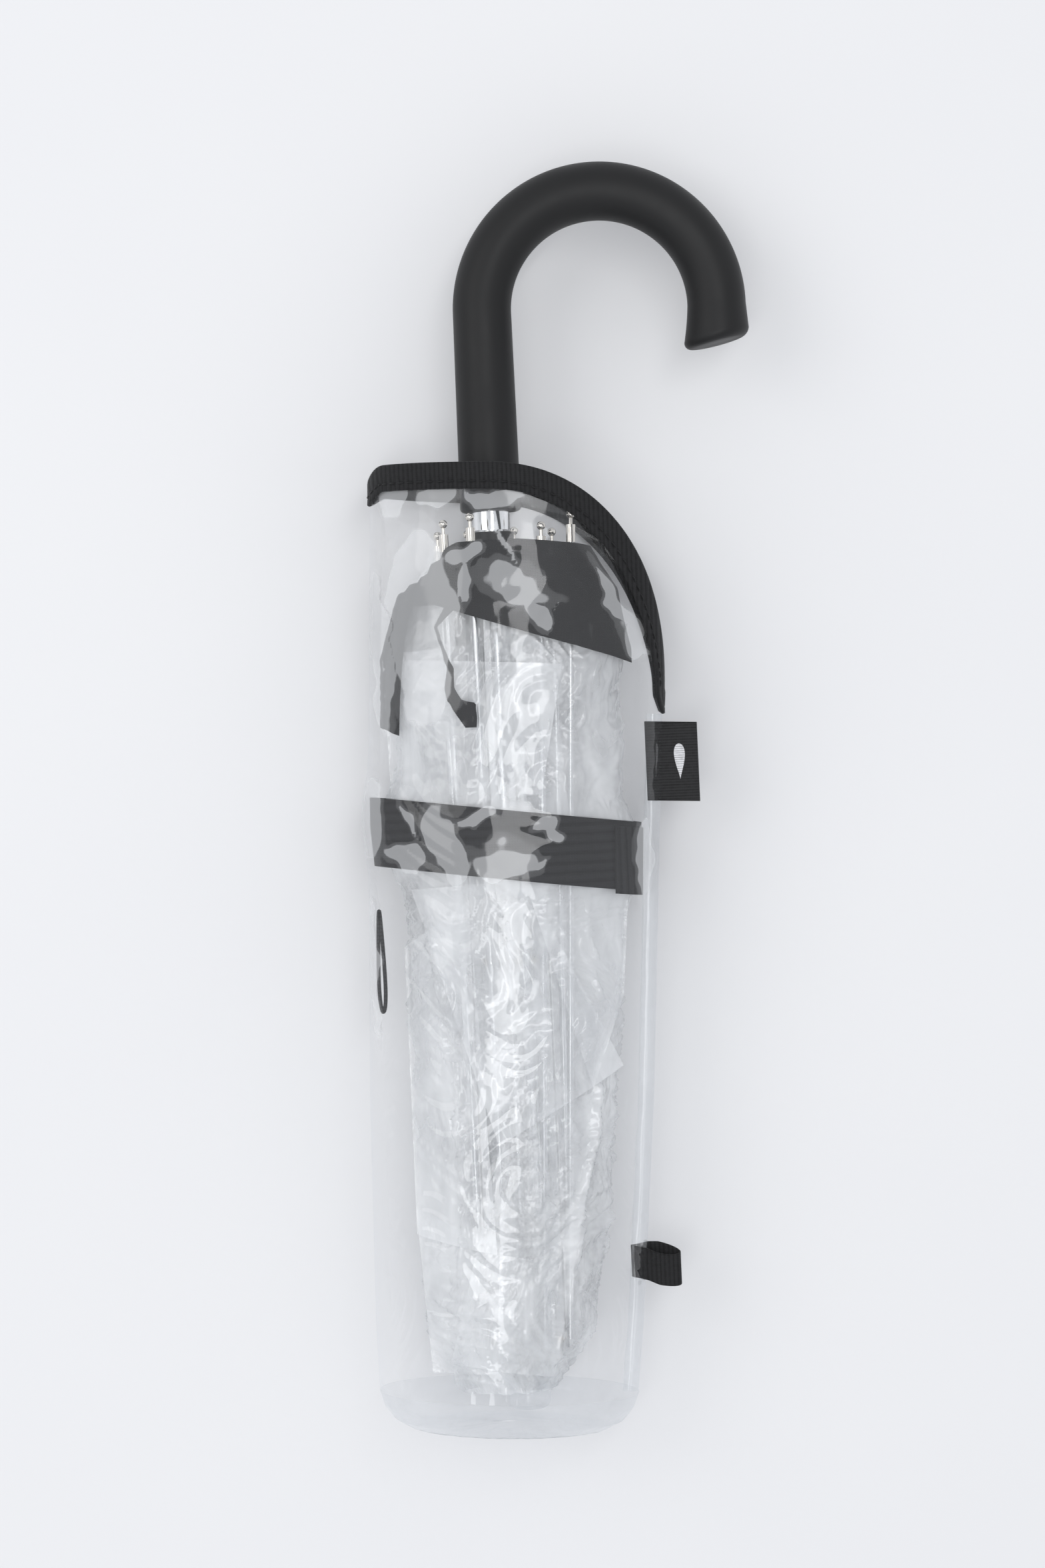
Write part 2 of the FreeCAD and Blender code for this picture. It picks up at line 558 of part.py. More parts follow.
def make_tip(index):
    """A collar crimped on the outer rib, a thin neck and a ball, which hold the canopy's hem."""
    start, ball = outer_rib_line(index)
    way = (ball - start).normalize()
    neck_start = ball - way * (TIP_NECK + TIP_BALL_R)
    collar = between(TIP_COLLAR_R, neck_start - way * TIP_COLLAR, neck_start)
    bore_start = neck_start - way * (TIP_COLLAR + 1)
    collar = collar.cut(between(OUTER_RIB_R + TIP_WALL_CLEARANCE, bore_start, neck_start))
    base = between(TIP_COLLAR_R, neck_start, neck_start + way * TIP_PLATE)
    neck = between(TIP_NECK_R, neck_start, ball)
    return collar.fuse([base, neck, Part.makeSphere(TIP_BALL_R, ball)])


def make_rivet(y, z, width):
    """A riveted pin across a channel, with a head on each side."""
    pin = cross_pin(RIVET_R, width + 2 * RIVET_HEAD, y, z)
    heads = []
    for side in (-1, 1):
        base = Vector(side * (width / 2 + PIVOT_CLEARANCE), y, z)
        heads.append(Part.makeCylinder(RIVET_HEAD_R, RIVET_HEAD, base, ACROSS * side))
    return pin.fuse(heads)


def make_ribs(parts):
    """Eight ribs of three sections with their stretchers, and the rivets and tips as one group each."""
    stretcher, inner, middle = make_stretcher(), make_inner_rib(), make_middle_rib()
    rivet_places = [
        (STRETCHER_JOINT_Y, STRETCHER_PIVOT_R, INNER_RIB_WIDTH),
        (INNER_JOINT_Y, STRETCHER_PIVOT_R, INNER_RIB_WIDTH),
        (OUTER_JOINT_Y, OUTER_PIVOT_R, MIDDLE_RIB_WIDTH),
    ]
    rivets, tips = [], []
    for index in range(RIB_COUNT):
        angle, number = rib_angle(index), index + 1
        parts["stretcher_%d" % number] = turned(stretcher, angle)
        parts["inner_rib_%d" % number] = turned(inner, angle)
        parts["middle_rib_%d" % number] = turned(middle, angle)
        parts["outer_rib_%d" % number] = make_outer_rib(index)
        rivets += [turned(make_rivet(*place), angle) for place in rivet_places]
        tips.append(make_tip(index))
    parts["rib_rivets"] = Part.makeCompound(rivets)
    parts["rib_tips"] = Part.makeCompound(tips)


# ---- Canopy -------------------------------------------------------------------------------------------------
def make_canopy(parts):
    """The folded canopy is a closed shell round the ribs, open at the tips; its first stretch is the hem."""
    shell = canopy_loft(0).cut([canopy_loft(CANOPY_WALL), end_cavity()])
    top = CANOPY_SECTIONS[0][0]
    opening = oval_plug(top)
    shell = shell.cut(opening)
    hem_side = block(-BIG, BIG, HEM_END, BIG, -BIG, BIG)
    parts["canopy_hem"] = shell.common(hem_side)
    parts["canopy_film"] = shell.cut(hem_side)


def oval_plug(y):
    """The opening at the rib tips, through the canopy's end face."""
    _, left, right, half = CANOPY_SECTIONS[0]
    width = (right - left) / 2 - CANOPY_WALL
    centre = (left + right) / 2
    ovals = [oval(centre, y - 0.5, width, half - CANOPY_WALL), oval(centre, y + 1, width, half - CANOPY_WALL)]
    return Part.makeLoft(ovals, True, True)


def end_cavity():
    """Room for the notch and the cap, which the canopy's centre is clamped between."""
    notch = rod(NOTCH_R + LAYER_GAP, NOTCH_END_Y - 0.1, NOTCH_Y + 1)
    return notch.fuse(rod(CAP_R + LAYER_GAP, -BIG, NOTCH_END_Y))


def make_strap(parts):
    """A band round the canopy that leans a little, its hook patch, and a small elastic loop beside it."""
    slab = block(-BIG, BIG, STRAP_MIDDLE - STRAP_WIDTH / 2, STRAP_MIDDLE + STRAP_WIDTH / 2, -BIG, BIG)
    slab.rotate(Vector(0, STRAP_MIDDLE, 0), UP, -STRAP_LEAN)
    outside = canopy_loft(-STRAP_GAP - STRAP_THICKNESS)
    parts["closing_strap"] = outside.cut(canopy_loft(-STRAP_GAP)).common(slab)

    patch = outside.copy().cut(canopy_loft(-STRAP_GAP - STRAP_THICKNESS + PATCH_THICKNESS))
    start = PATCH_OFF_CENTRE - PATCH_LENGTH / 2
    half = STRAP_WIDTH / 2 - PATCH_INSET
    window = block(start, start + PATCH_LENGTH, STRAP_MIDDLE - half, STRAP_MIDDLE + half, 0, BIG)
    window.rotate(Vector(0, STRAP_MIDDLE, 0), UP, -STRAP_LEAN)
    parts["strap_patch"] = patch.common(window)
    parts["closing_strap"] = parts["closing_strap"].cut(parts["strap_patch"])

    left = section_at(CANOPY_SECTIONS, LOOP_TOP - LOOP_LENGTH / 4)[0]
    centre = left - LOOP_GAP - LOOP_WIDTH / 2
    parts["strap_loop"] = long_loop(centre, LOOP_TOP, LOOP_LENGTH)


def stadium(x, y_top, y_bottom, width, z0, z1):
    """A flat plate with round ends, which stands along the shaft."""
    radius = width / 2
    plate = block(x - radius, x + radius, y_top - radius, y_bottom + radius, z0, z1)
    ends = [Part.makeCylinder(radius, z1 - z0, Vector(x, y, z0), UP) for y in (y_top - radius, y_bottom + radius)]
    return plate.fuse(ends)


def long_loop(x, y_top, length):
    z0, z1 = -LOOP_THICKNESS / 2, LOOP_THICKNESS / 2
    outer = stadium(x, y_top, y_top - length, LOOP_WIDTH, z0, z1)
    rim = (LOOP_WIDTH - LOOP_SLIT) / 2
    slit_bottom = y_top - length + rim
    return outer.cut(stadium(x, slit_bottom + LOOP_SLIT_LENGTH, slit_bottom, LOOP_SLIT, z0 - 1, z1 + 1))


# ---- Sleeve -------------------------------------------------------------------------------------------------
def mouth_line(drop):
    """Points of the sleeve's mouth, from its level stretch down to the seam; drop moves it square to itself."""
    reach = sleeve_half_width(MOUTH_LEVEL - MOUTH_FALL) - MOUTH_TURN_X
    points = []
    for i in range(MOUTH_POINTS):
        angle = math.radians(90.0 * i / (MOUTH_POINTS - 1))
        x = MOUTH_TURN_X + reach * math.sin(angle) ** (2 / MOUTH_POWER)
        y = MOUTH_LEVEL - MOUTH_FALL * (1 - math.cos(angle) ** (2 / MOUTH_POWER))
        normal = Vector(math.sin(angle) ** (2 - 2 / MOUTH_POWER) / reach,
                        math.cos(angle) ** (2 - 2 / MOUTH_POWER) / MOUTH_FALL, 0).normalize()
        points.append(Vector(x, y, 0) - normal * drop)
    return points


def above_mouth(drop):
    """Everything past the mouth, as a solid that cuts the sleeve off there."""
    points = mouth_line(drop)
    curve = Part.BSplineCurve()
    curve.interpolate(points)
    start = Vector(-BIG, points[0].y, 0)
    end = Vector(BIG, points[-1].y, 0)
    edges = [Part.makeLine(start, points[0]), curve.toShape(), Part.makeLine(points[-1], end)]
    edges += [Part.makeLine(end, Vector(BIG, BIG, 0)), Part.makeLine(Vector(BIG, BIG, 0), Vector(-BIG, BIG, 0))]
    edges.append(Part.makeLine(Vector(-BIG, BIG, 0), start))
    face = Part.Face(Part.Wire(edges))
    face.translate(Vector(0, 0, -BIG))
    return face.extrude(UP * 2 * BIG)


def make_sleeve(parts):
    """One sheet of film closed by a seam on the right, a base, and a binding folded over the mouth."""
    outside, inside = sleeve_loft(SLEEVE_SECTIONS, 0), sleeve_loft(SLEEVE_SECTIONS, SLEEVE_FILM)
    ends = block(-BIG, BIG, SLEEVE_SECTIONS[0][0] - 0.01, BIG, -BIG, BIG)
    film = outside.cut([inside, above_mouth(0), ends])
    base_y = SLEEVE_SECTIONS[-1][0]
    base = sleeve_loft(BASE_SECTIONS, 0).cut(sleeve_loft(base_inside(), SLEEVE_FILM))
    film = film.cut(block(-BIG, BIG, -BIG, base_y, -BIG, BIG))

    # Where the sleeve lies on the surface, the film ends at the binding, so that both lie flat.
    band = above_mouth(BINDING_WIDTH).cut(above_mouth(-BINDING_LIP))
    film = film.cut(band.common(block(-BIG, BIG, -BIG, BIG, -BIG, BINDING_THICKNESS - AXIS_HEIGHT)))
    wide = sleeve_loft(SLEEVE_SECTIONS, -BINDING_THICKNESS)
    wide = wide.common(block(-BIG, BIG, -BIG, BIG, -AXIS_HEIGHT, BIG))
    narrow = sleeve_loft(SLEEVE_SECTIONS, SLEEVE_FILM + BINDING_THICKNESS)
    binding = wide.cut(narrow).common(band).cut(film)

    parts["sleeve_film"] = on_sleeve(film)
    parts["sleeve_base"] = on_sleeve(base)
    parts["mouth_binding"] = on_sleeve(binding)
    parts["side_seam"] = on_sleeve(make_seam(SEAM_TOP, base_y))
    parts["side_label"] = on_sleeve(make_label())
    parts["hang_loop"] = on_sleeve(make_hang_loop())


def base_inside():
    """The base's inside sections: the same, moved up by the film's thickness at the closed end."""
    first, rest = BASE_SECTIONS[0], BASE_SECTIONS[1:]
    return [(first[0] + 1, first[1], first[2])] + [(y + SLEEVE_FILM, width, half) for y, width, half in rest]


def make_seam(y_top, y_bottom):
    """The seam's two layers, turned to the inside, down the sleeve's right edge."""
    edges = []
    for y in (y_top, y_bottom):
        edges.append(sleeve_half_width(y) - SLEEVE_FILM - SEAM_CLEARANCE)
    corners = [
        Vector(edges[0], y_top, 0),
        Vector(edges[1], y_bottom, 0),
        Vector(edges[1] - SEAM_WIDTH, y_bottom, 0),
        Vector(edges[0] - SEAM_WIDTH, y_top, 0),
    ]
    strip = Part.Face(Part.makePolygon(corners + corners[:1])).extrude(UP * SEAM_THICKNESS)
    strip.translate(Vector(0, 0, -SEAM_THICKNESS / 2))
    room = sleeve_loft(SLEEVE_SECTIONS, SLEEVE_FILM + SEAM_CLEARANCE)
    return strip.common(room)


def make_label():
    """A woven label, folded once, that stands out of the seam."""
    bottom = LABEL_TOP - LABEL_HEIGHT
    start = sleeve_half_width(LABEL_TOP - LABEL_HEIGHT) + BINDING_THICKNESS + SEAM_CATCH
    z0 = -LABEL_THICKNESS / 2
    return block(start, start + LABEL_OUT, bottom, LABEL_TOP, z0, z0 + LABEL_THICKNESS)


def make_hang_loop():
    """A tape folded into a loop that stands out of the seam."""
    start = sleeve_half_width(HANG_LOOP_TOP) + SEAM_CATCH
    bottom = HANG_LOOP_TOP - HANG_LOOP_WIDTH
    outer = flat_ring(start, HANG_LOOP_OUT, HANG_LOOP_THICKNESS, bottom)
    hole = HANG_LOOP_THICKNESS - 2 * HANG_LOOP_TAPE
    inner = flat_ring(start + HANG_LOOP_TAPE, HANG_LOOP_OUT - 2 * HANG_LOOP_TAPE, hole, bottom)
    return outer.cut(inner)


def flat_ring(start, length, thickness, bottom):
    """A bar along the sleeve's edge with round sides, HANG_LOOP_WIDTH long."""
    radius = thickness / 2
    bars = [rod(radius, bottom, bottom + HANG_LOOP_WIDTH, x) for x in (start + radius, start + length - radius)]
    middle = block(start + radius, start + length - radius, bottom, bottom + HANG_LOOP_WIDTH, -radius, radius)
    return middle.fuse(bars)


# ---- The whole object ---------------------------------------------------------------------------------------
def footprint_centre(parts):
    """The point that becomes the origin: the middle of the footprint, at the lowest level."""
    low, high = [BIG] * 3, [-BIG] * 3
    for shape in parts.values():
        box = shape.optimalBoundingBox(False)
        low = [min(a, b) for a, b in zip(low, (box.XMin, box.YMin, box.ZMin))]
        high = [max(a, b) for a, b in zip(high, (box.XMax, box.YMax, box.ZMax))]
    return Vector((low[0] + high[0]) / 2, (low[1] + high[1]) / 2, low[2]), Vector(*high) - Vector(*low)


def main():
    parts = {
        "handle": make_handle(),
        "handle_ferrule": make_ferrule(),
        "handle_pin": make_handle_pin(),
        "runner": make_runner(),
        "runner_ring": ring_wire(RUNNER_RING_Y),
        "top_notch": make_notch(),
        "notch_ring": ring_wire(NOTCH_RING_Y),
        "top_cap": make_cap(),
    }
    make_shaft(parts)
    make_ribs(parts)
    make_canopy(parts)
    make_strap(parts)
    make_sleeve(parts)
    origin, size = footprint_centre(parts)
    os.makedirs("parts", exist_ok=True)
    for name, shape in sorted(parts.items()):
        shape = shape.copy()
        shape.translate(-origin)
        solids = shape.Solids
        ok = shape.isValid() and all(s.isClosed() and s.Volume > 0 for s in solids)
        print("%-20s %2d solids %10.1f mm3 %s" % (name, len(solids), shape.Volume, "" if ok else "BAD"))
        Part.makeCompound(solids).exportStep("parts/%s.step" % name)
    print("nodes %d, size %.2f x %.2f x %.2f" % (len(parts), size.x, size.y, size.z))
    print("origin in the umbrella's axes: %.3f %.3f %.3f" % (origin.x, origin.y, origin.z))


main()
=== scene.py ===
"""The looks of the folded umbrella in its clear sleeve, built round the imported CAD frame.

Sizes are millimetres in the umbrella's own axes: the shaft is the Y axis with the handle towards +Y, Z is up and
Y = 0 lies just above the sleeve's mouth. at() turns them into the frame's metres, from where the CAD nodes are.
"""

import functools
import math

import bpy
import numpy as np
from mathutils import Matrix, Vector, noise


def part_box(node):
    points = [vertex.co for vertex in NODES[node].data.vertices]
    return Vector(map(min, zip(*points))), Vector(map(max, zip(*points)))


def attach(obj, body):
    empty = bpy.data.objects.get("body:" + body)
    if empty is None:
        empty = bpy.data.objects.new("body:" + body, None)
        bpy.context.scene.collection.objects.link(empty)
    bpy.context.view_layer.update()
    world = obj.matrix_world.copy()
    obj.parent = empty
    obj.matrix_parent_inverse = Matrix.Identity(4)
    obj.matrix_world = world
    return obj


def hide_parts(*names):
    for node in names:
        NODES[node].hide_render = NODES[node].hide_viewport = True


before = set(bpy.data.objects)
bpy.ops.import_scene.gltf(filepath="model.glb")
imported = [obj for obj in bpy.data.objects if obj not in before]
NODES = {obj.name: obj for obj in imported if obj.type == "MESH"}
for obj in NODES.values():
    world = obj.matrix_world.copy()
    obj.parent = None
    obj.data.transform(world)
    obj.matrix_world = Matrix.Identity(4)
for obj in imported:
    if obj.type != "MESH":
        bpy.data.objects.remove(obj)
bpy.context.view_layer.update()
MM = 0.001

# ---- The umbrella's axes in the frame -----------------------------------------------------------------------
FERRULE_END_Y = -20.5           # the ferrule's lower end
tube_low, tube_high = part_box("shaft_outer_tube")
ferrule_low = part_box("handle_ferrule")[0]
ORIGIN = Vector((
    (tube_low.x + tube_high.x) / 2,
    ferrule_low.y - FERRULE_END_Y * MM,
    (tube_low.z + tube_high.z) / 2,
))


def at(x, y, z):
    return ORIGIN + Vector((x, y, z)) * MM


# ---- Sizes --------------------------------------------------------------------------------------------------
# Handle
ARCH_R = 37.0
ARCH_Y = 48.0
PIPE_R = 9.2
FOOT_R = 9.6
FOOT_Y = -14.5
FOOT_ROUND = 1.2
TIP_RUN = 12.5
TIP_SLANT = math.tan(math.radians(12))
TIP_R = 9.8
TIP_ROUND = 2.6

# Sleeve, in its own axes
SKEW = math.radians(3.05)
SLEEVE_OFFSET = 9.2
FLOOR_SKIN = 0.05               # nothing comes nearer to the floor than this
SLEEVE_TOP_Y = 4.0
BASE_Y = -291.5
AXIS_HEIGHT = 27.5
FLOOR_Z = -AXIS_HEIGHT
# Half width, and half thickness over the shaft's height: first after the share of the film's length, and then
# after the distance past its end.
SLEEVE_BODY = ((0.0, 46.8, 0.9), (0.32, 46.4, 0.9), (0.69, 45.0, 0.8), (0.93, 42.4, 0.7), (1.0, 41.0, 0.4))
BASE_BODY = ((4.5, 39.6, -0.1), (8.5, 36.6, -1.5), (11.0, 32.0, -4.0))
SLEEVE_SECTIONS = tuple((SLEEVE_TOP_Y + share * (BASE_Y - SLEEVE_TOP_Y), width, AXIS_HEIGHT + over)
                        for share, width, over in SLEEVE_BODY)
SLEEVE_SECTIONS += tuple((BASE_Y - past, width, AXIS_HEIGHT + over) for past, width, over in BASE_BODY)
BASE_END_Y = SLEEVE_SECTIONS[-1][0]
MOUTH_LEVEL = -2.5
MOUTH_TURN_X = -10.0
MOUTH_FALL = 68.0
MOUTH_POWER = 2.2
SEAM_TOP = -78.1
BINDING_WIDTH = 7.6
STITCH_FROM_LIP = 5.3
STITCH_PITCH = 3.4

# Folded canopy: along, left edge, right edge, half thickness
CANOPY_SECTIONS = ((-24.0, -22.5, 30.0, 24.6), (-40.0, -31.5, 39.5, 25.0), (-60.0, -38.0, 43.5, 25.2),
                   (-112.0, -39.6, 42.4, 25.2), (-150.0, -37.0, 40.5, 25.2), (-200.0, -37.0, 37.0, 25.0),
                   (-246.0, -37.5, 31.0, 24.2), (-276.0, -35.0, 24.0, 21.5), (-290.0, -27.0, 14.0, 14.0),
                   (-294.0, -20.0, 9.5, 9.5))
CANOPY_TOP_Y = -24.0
CANOPY_END_Y = -294.0

# Closing strap
STRAP_MIDDLE = -119.0
STRAP_WIDTH = 21.5
STRAP_LEAN = math.radians(8.0)


# ---- Mesh helpers -------------------------------------------------------------------------------------------
def mesh_piece(name, verts, faces, smooth=True):
    """A mesh object from points in metres."""
    mesh = bpy.data.meshes.new(name)
    mesh.from_pydata([tuple(v) for v in verts], [], faces)
    mesh.validate()
    if smooth:
        mesh.polygons.foreach_set("use_smooth", [True] * len(mesh.polygons))
    piece = bpy.data.objects.new(name, mesh)
    bpy.context.scene.collection.objects.link(piece)
    return piece


def grid_faces(rows, columns, wrap_rows=False, wrap_columns=False, start=0, keep=None):
    """Quads over a grid of rows x columns points. keep(row, column) can leave quads out."""
    faces = []
    for i in range(rows if wrap_rows else rows - 1):
        for j in range(columns if wrap_columns else columns - 1):
            if keep is not None and not keep(i, j):
                continue
            k, m = (i + 1) % rows, (j + 1) % columns
            faces.append((start + i * columns + j, start + i * columns + m,
                          start + k * columns + m, start + k * columns + j))
    return faces


def place(points):
    """An array of points in the umbrella's axes as a list of points in the frame."""
    flat = np.asarray(points, float).reshape(-1, 3) * MM + np.array(ORIGIN)
    return flat.tolist()


def grid_piece(name, points, wrap_rows=False, wrap_columns=False, keep=None):
    points = np.asarray(points, float)
    rows, columns = points.shape[:2]
    faces = grid_faces(rows, columns, wrap_rows, wrap_columns, keep=keep)
    piece = mesh_piece(name, place(points), faces)
    drop_loose(piece)
    return piece


def drop_loose(piece):
    """Removes points that no face uses."""
    mesh = piece.data
    used = set()
    for face in mesh.polygons:
        used.update(face.vertices)
    if len(used) == len(mesh.vertices):
        return
    order = sorted(used)
    index = {v: i for i, v in enumerate(order)}
    verts = [tuple(mesh.vertices[v].co) for v in order]
    faces = [tuple(index[v] for v in face.vertices) for face in mesh.polygons]
    mesh.clear_geometry()
    mesh.from_pydata(verts, [], faces)
    mesh.polygons.foreach_set("use_smooth", [True] * len(mesh.polygons))


def apply_modifiers(piece):
    graph = bpy.context.evaluated_depsgraph_get()
    baked = bpy.data.meshes.new_from_object(piece.evaluated_get(graph))
    piece.modifiers.clear()
    piece.data = baked
    return piece


def thicken(piece, thickness):
    """Gives a sheet its real thickness."""
    modifier = piece.modifiers.new("thickness", "SOLIDIFY")
    modifier.thickness = thickness * MM
    modifier.offset = 0
    return apply_modifiers(piece)


# ---- Crease fields ------------------------------------------------------------------------------------------
def soft_noise(x, y, z):
    return noise.noise(Vector((x, y, z)))


def facets(x, y, cell, seed):
    """A crumpled height from 0 to about 1: flat facets that meet in straight creases."""
    bend = soft_noise(x / cell / 2.3, y / cell / 2.3, seed + 7.1)
    turn = 0.6 + 1.7 * bend
    u = (x * math.cos(turn) + y * math.sin(turn)) / cell
    v = (y * math.cos(turn) - x * math.sin(turn)) / cell
    distances, _ = noise.voronoi(Vector((u, v, seed)), distance_metric="MANHATTAN")
    return distances[0]


def folds(x, y, cell, stretch, seed):
    """Long creases that run along the shaft."""
    shift = 1.4 * soft_noise(x / 40, y / 90, seed)
    distances, _ = noise.voronoi(Vector((x / cell + shift, y / (cell * stretch), seed)),
                                 distance_metric="MANHATTAN")
    return distances[0]


def bump_at(x, y, centre_x, centre_y, reach_x, reach_y):
    """1 at a centre, falling smoothly to 0."""
    return math.exp(-((x - centre_x) / reach_x) ** 2 - ((y - centre_y) / reach_y) ** 2)


# ---- Surfaces -----------------------------------------------------------------------------------------------
@functools.lru_cache(maxsize=None)
def section_at(sections, y):
    """The values of a list of sections at a place along the shaft, in straight lines between them."""
    ys = [s[0] for s in sections][::-1]
    return [float(np.interp(y, ys, [s[k] for s in sections][::-1])) for k in range(1, len(sections[0]))]


def skewed(x, y, z):
    """A point in the sleeve's axes, in the umbrella's axes."""
    return (x * math.cos(SKEW) + y * math.sin(SKEW) + SLEEVE_OFFSET,
            y * math.cos(SKEW) - x * math.sin(SKEW), z)


def sleeve_local(angle, y, inset=0.0):
    """A point of the sleeve's surface in its own axes. The angle is 0 at the seam, on the right, and 90 on top."""
    width, half = section_at(SLEEVE_SECTIONS, y)
    x = (width - inset) * math.cos(angle)
    z = (half - inset) * math.sin(angle)
    return x, y, max(z, FLOOR_Z + max(inset, FLOOR_SKIN))


def mouth_y(x):
    """The level of the mouth at a place across it."""
    reach = section_at(SLEEVE_SECTIONS, MOUTH_LEVEL - MOUTH_FALL)[0] - MOUTH_TURN_X
    share = min(max((x - MOUTH_TURN_X) / reach, 0.0), 1.0)
    fall = MOUTH_LEVEL + MOUTH_FALL * ((1 - share ** MOUTH_POWER) ** (1 / MOUTH_POWER) - 1)
    corner = max(0.0, (-x - 42.0) / 5.0)
    return fall - 4.0 * corner ** 2


def canopy_point(angle, y, proud=0.0):
    """A point of the folded canopy's outside: angle 0 at its right edge and 90 on top."""
    left, right, half = section_at(CANOPY_SECTIONS, y)
    return ((left + right) / 2 + ((right - left) / 2 + proud) * math.cos(angle), y,
            (half + proud) * math.sin(angle))


# ---- Material helpers ---------------------------------------------------------------------------------------
class Graph:
    """A new material's node tree."""

    def __init__(self, name):
        self.material = bpy.data.materials.new(name)
        self.material.use_nodes = True
        self.tree = self.material.node_tree
        self.tree.nodes.clear()
        self.output = self.tree.nodes.new("ShaderNodeOutputMaterial")
        self.coords = self.tree.nodes.new("ShaderNodeTexCoord").outputs["Object"]

    def add(self, kind, links=None, **settings):
        """A node, with its inputs linked or set by name, and its settings."""
        node = self.tree.nodes.new(kind)
        for key, value in settings.items():
            setattr(node, key, value)
        for key, value in (links or {}).items():
            socket = node.inputs[key]
            if isinstance(value, bpy.types.NodeSocket):
                self.tree.links.new(value, socket)
            else:
                socket.default_value = value
        return node

    def stretched(self, x, y, z):
        """The object's coordinates, in millimetres divided by these lengths."""
        scale = (1 / (x * MM), 1 / (y * MM), 1 / (z * MM))
        return self.add("ShaderNodeMapping", {"Vector": self.coords, "Scale": scale}).outputs[0]

    def noise(self, vector, detail=2.0, distortion=0.0, scale=1.0):
        links = {"Vector": vector, "Scale": scale, "Detail": detail, "Distortion": distortion}
        return self.add("ShaderNodeTexNoise", links).outputs["Fac"]

    def wave(self, vector, direction, distortion=0.0):
        links = {"Vector": vector, "Scale": 1.0, "Distortion": distortion, "Detail": 1.0}
        return self.add("ShaderNodeTexWave", links, bands_direction=direction).outputs["Fac"]

    def ramp(self, value, *stops):
        """A colour ramp from (place, colour or level) stops."""
        node = self.add("ShaderNodeValToRGB", {"Fac": value})
        elements = node.color_ramp.elements
        while len(elements) < len(stops):
            elements.new(0.5)
        for element, (position, level) in zip(elements, stops):
            element.position = position
            element.color = (*level, 1) if isinstance(level, tuple) else (level, level, level, 1)
        return node.outputs["Color"]

    def math(self, operation, a, b):
        node = self.add("ShaderNodeMath", operation=operation)
        for socket, value in zip(node.inputs, (a, b)):
            if isinstance(value, bpy.types.NodeSocket):
                self.tree.links.new(value, socket)
            else:
                socket.default_value = value
        return node.outputs[0]

    def bump(self, height, strength, distance_mm):
        links = {"Height": height, "Strength": strength, "Distance": distance_mm * MM}
        return self.add("ShaderNodeBump", links).outputs[0]

    def mix_shaders(self, share, first, second):
        node = self.add("ShaderNodeMixShader")
        for socket, value in zip(node.inputs, (share, first, second)):
            if isinstance(value, bpy.types.NodeSocket):
                self.tree.links.new(value, socket)
            else:
                socket.default_value = value
        return node.outputs[0]

    def finish(self, shader):
        self.tree.links.new(shader, self.output.inputs["Surface"])
        return self.material


def film_material(name, tint, haze, spread, roughness=0.06, wave_mm=0.6, sheen_patch_stops=None):
    """Clear soft film: see-through, glossy and a little milky, with a painted sheen of white milk in crisp patches.
    """
    g = Graph(name)
    cloud = g.noise(g.stretched(*spread), detail=2.0, distortion=0.8)
    haze_and_painted_sheen = g.ramp(cloud, (0.35, haze[0]), (0.65, haze[1]))
    if sheen_patch_stops is not None:
        # painted sheen: the milk rises to white where the mesh's sheen level runs high, in place of light mirrored
        # off the film
        level = g.add("ShaderNodeAttribute", attribute_name="painted_sheen_level").outputs["Fac"]
        haze_and_painted_sheen = g.math("MAXIMUM", haze_and_painted_sheen, g.ramp(level, *sheen_patch_stops))
    ripple = g.noise(g.stretched(11.0, 34.0, 11.0), detail=2.0, distortion=0.5)
    normal = g.bump(ripple, 0.5, wave_mm)
    clear = g.add("ShaderNodeBsdfTransparent", {"Color": (*tint, 1)}).outputs[0]
    milk = g.add("ShaderNodeBsdfPrincipled", {
        "Base Color": (0.93, 0.94, 0.95, 1), "Roughness": 0.3, "Normal": normal,
    }).outputs[0]
    mirror = g.add("ShaderNodeBsdfGlossy", {
        "Color": (0.98, 0.99, 1.0, 1), "Roughness": roughness, "Normal": normal,
    }).outputs[0]
    # a thin sheet mirrors the same from both sides, so this goes by the angle alone
    facing = g.add("ShaderNodeLayerWeight", {"Blend": 0.5, "Normal": normal}).outputs["Facing"]
    reflectance = g.math("ADD", g.math("MULTIPLY", g.math("POWER", facing, 5.0), 0.9), 0.04)
    return g.finish(g.mix_shaders(reflectance, g.mix_shaders(haze_and_painted_sheen, clear, milk), mirror))


def fabric_material(name, color, pitch_mm, rough=0.85, rib=None, sheen=0.06):
    """Woven black cloth: warp and weft from two waves, with a little lint and shade between yarns."""
    g = Graph(name)
    warp = g.wave(g.stretched(pitch_mm * 6.3, pitch_mm * 6.3, pitch_mm * 6.3), "X", 0.4)
    weft = g.wave(g.stretched(pitch_mm * 6.3, pitch_mm * 6.3, pitch_mm * 6.3), "Y", 0.4)
    weave = g.math("MAXIMUM", warp, weft)
    if rib is not None:
        axis, rib_mm = rib
        ribs = g.wave(g.stretched(rib_mm * 6.3, rib_mm * 6.3, rib_mm * 6.3), axis, 0.1)
        weave = g.math("ADD", weave, g.math("MULTIPLY", ribs, 2.0))
    lint = g.noise(g.stretched(1.2, 1.2, 1.2), detail=4.0)
    shade = g.math("MULTIPLY", weave, lint)
    dark = tuple(c * 0.55 for c in color)
    light = tuple(c * 1.9 for c in color)
    base = g.ramp(shade, (0.0, dark), (1.0, light))
    return g.finish(g.add("ShaderNodeBsdfPrincipled", {
        "Base Color": base, "Roughness": rough, "Normal": g.bump(weave, 0.5, 0.12),
        "Sheen Weight": sheen, "Sheen Roughness": 0.4, "Specular IOR Level": 0.25,
    }).outputs[0])


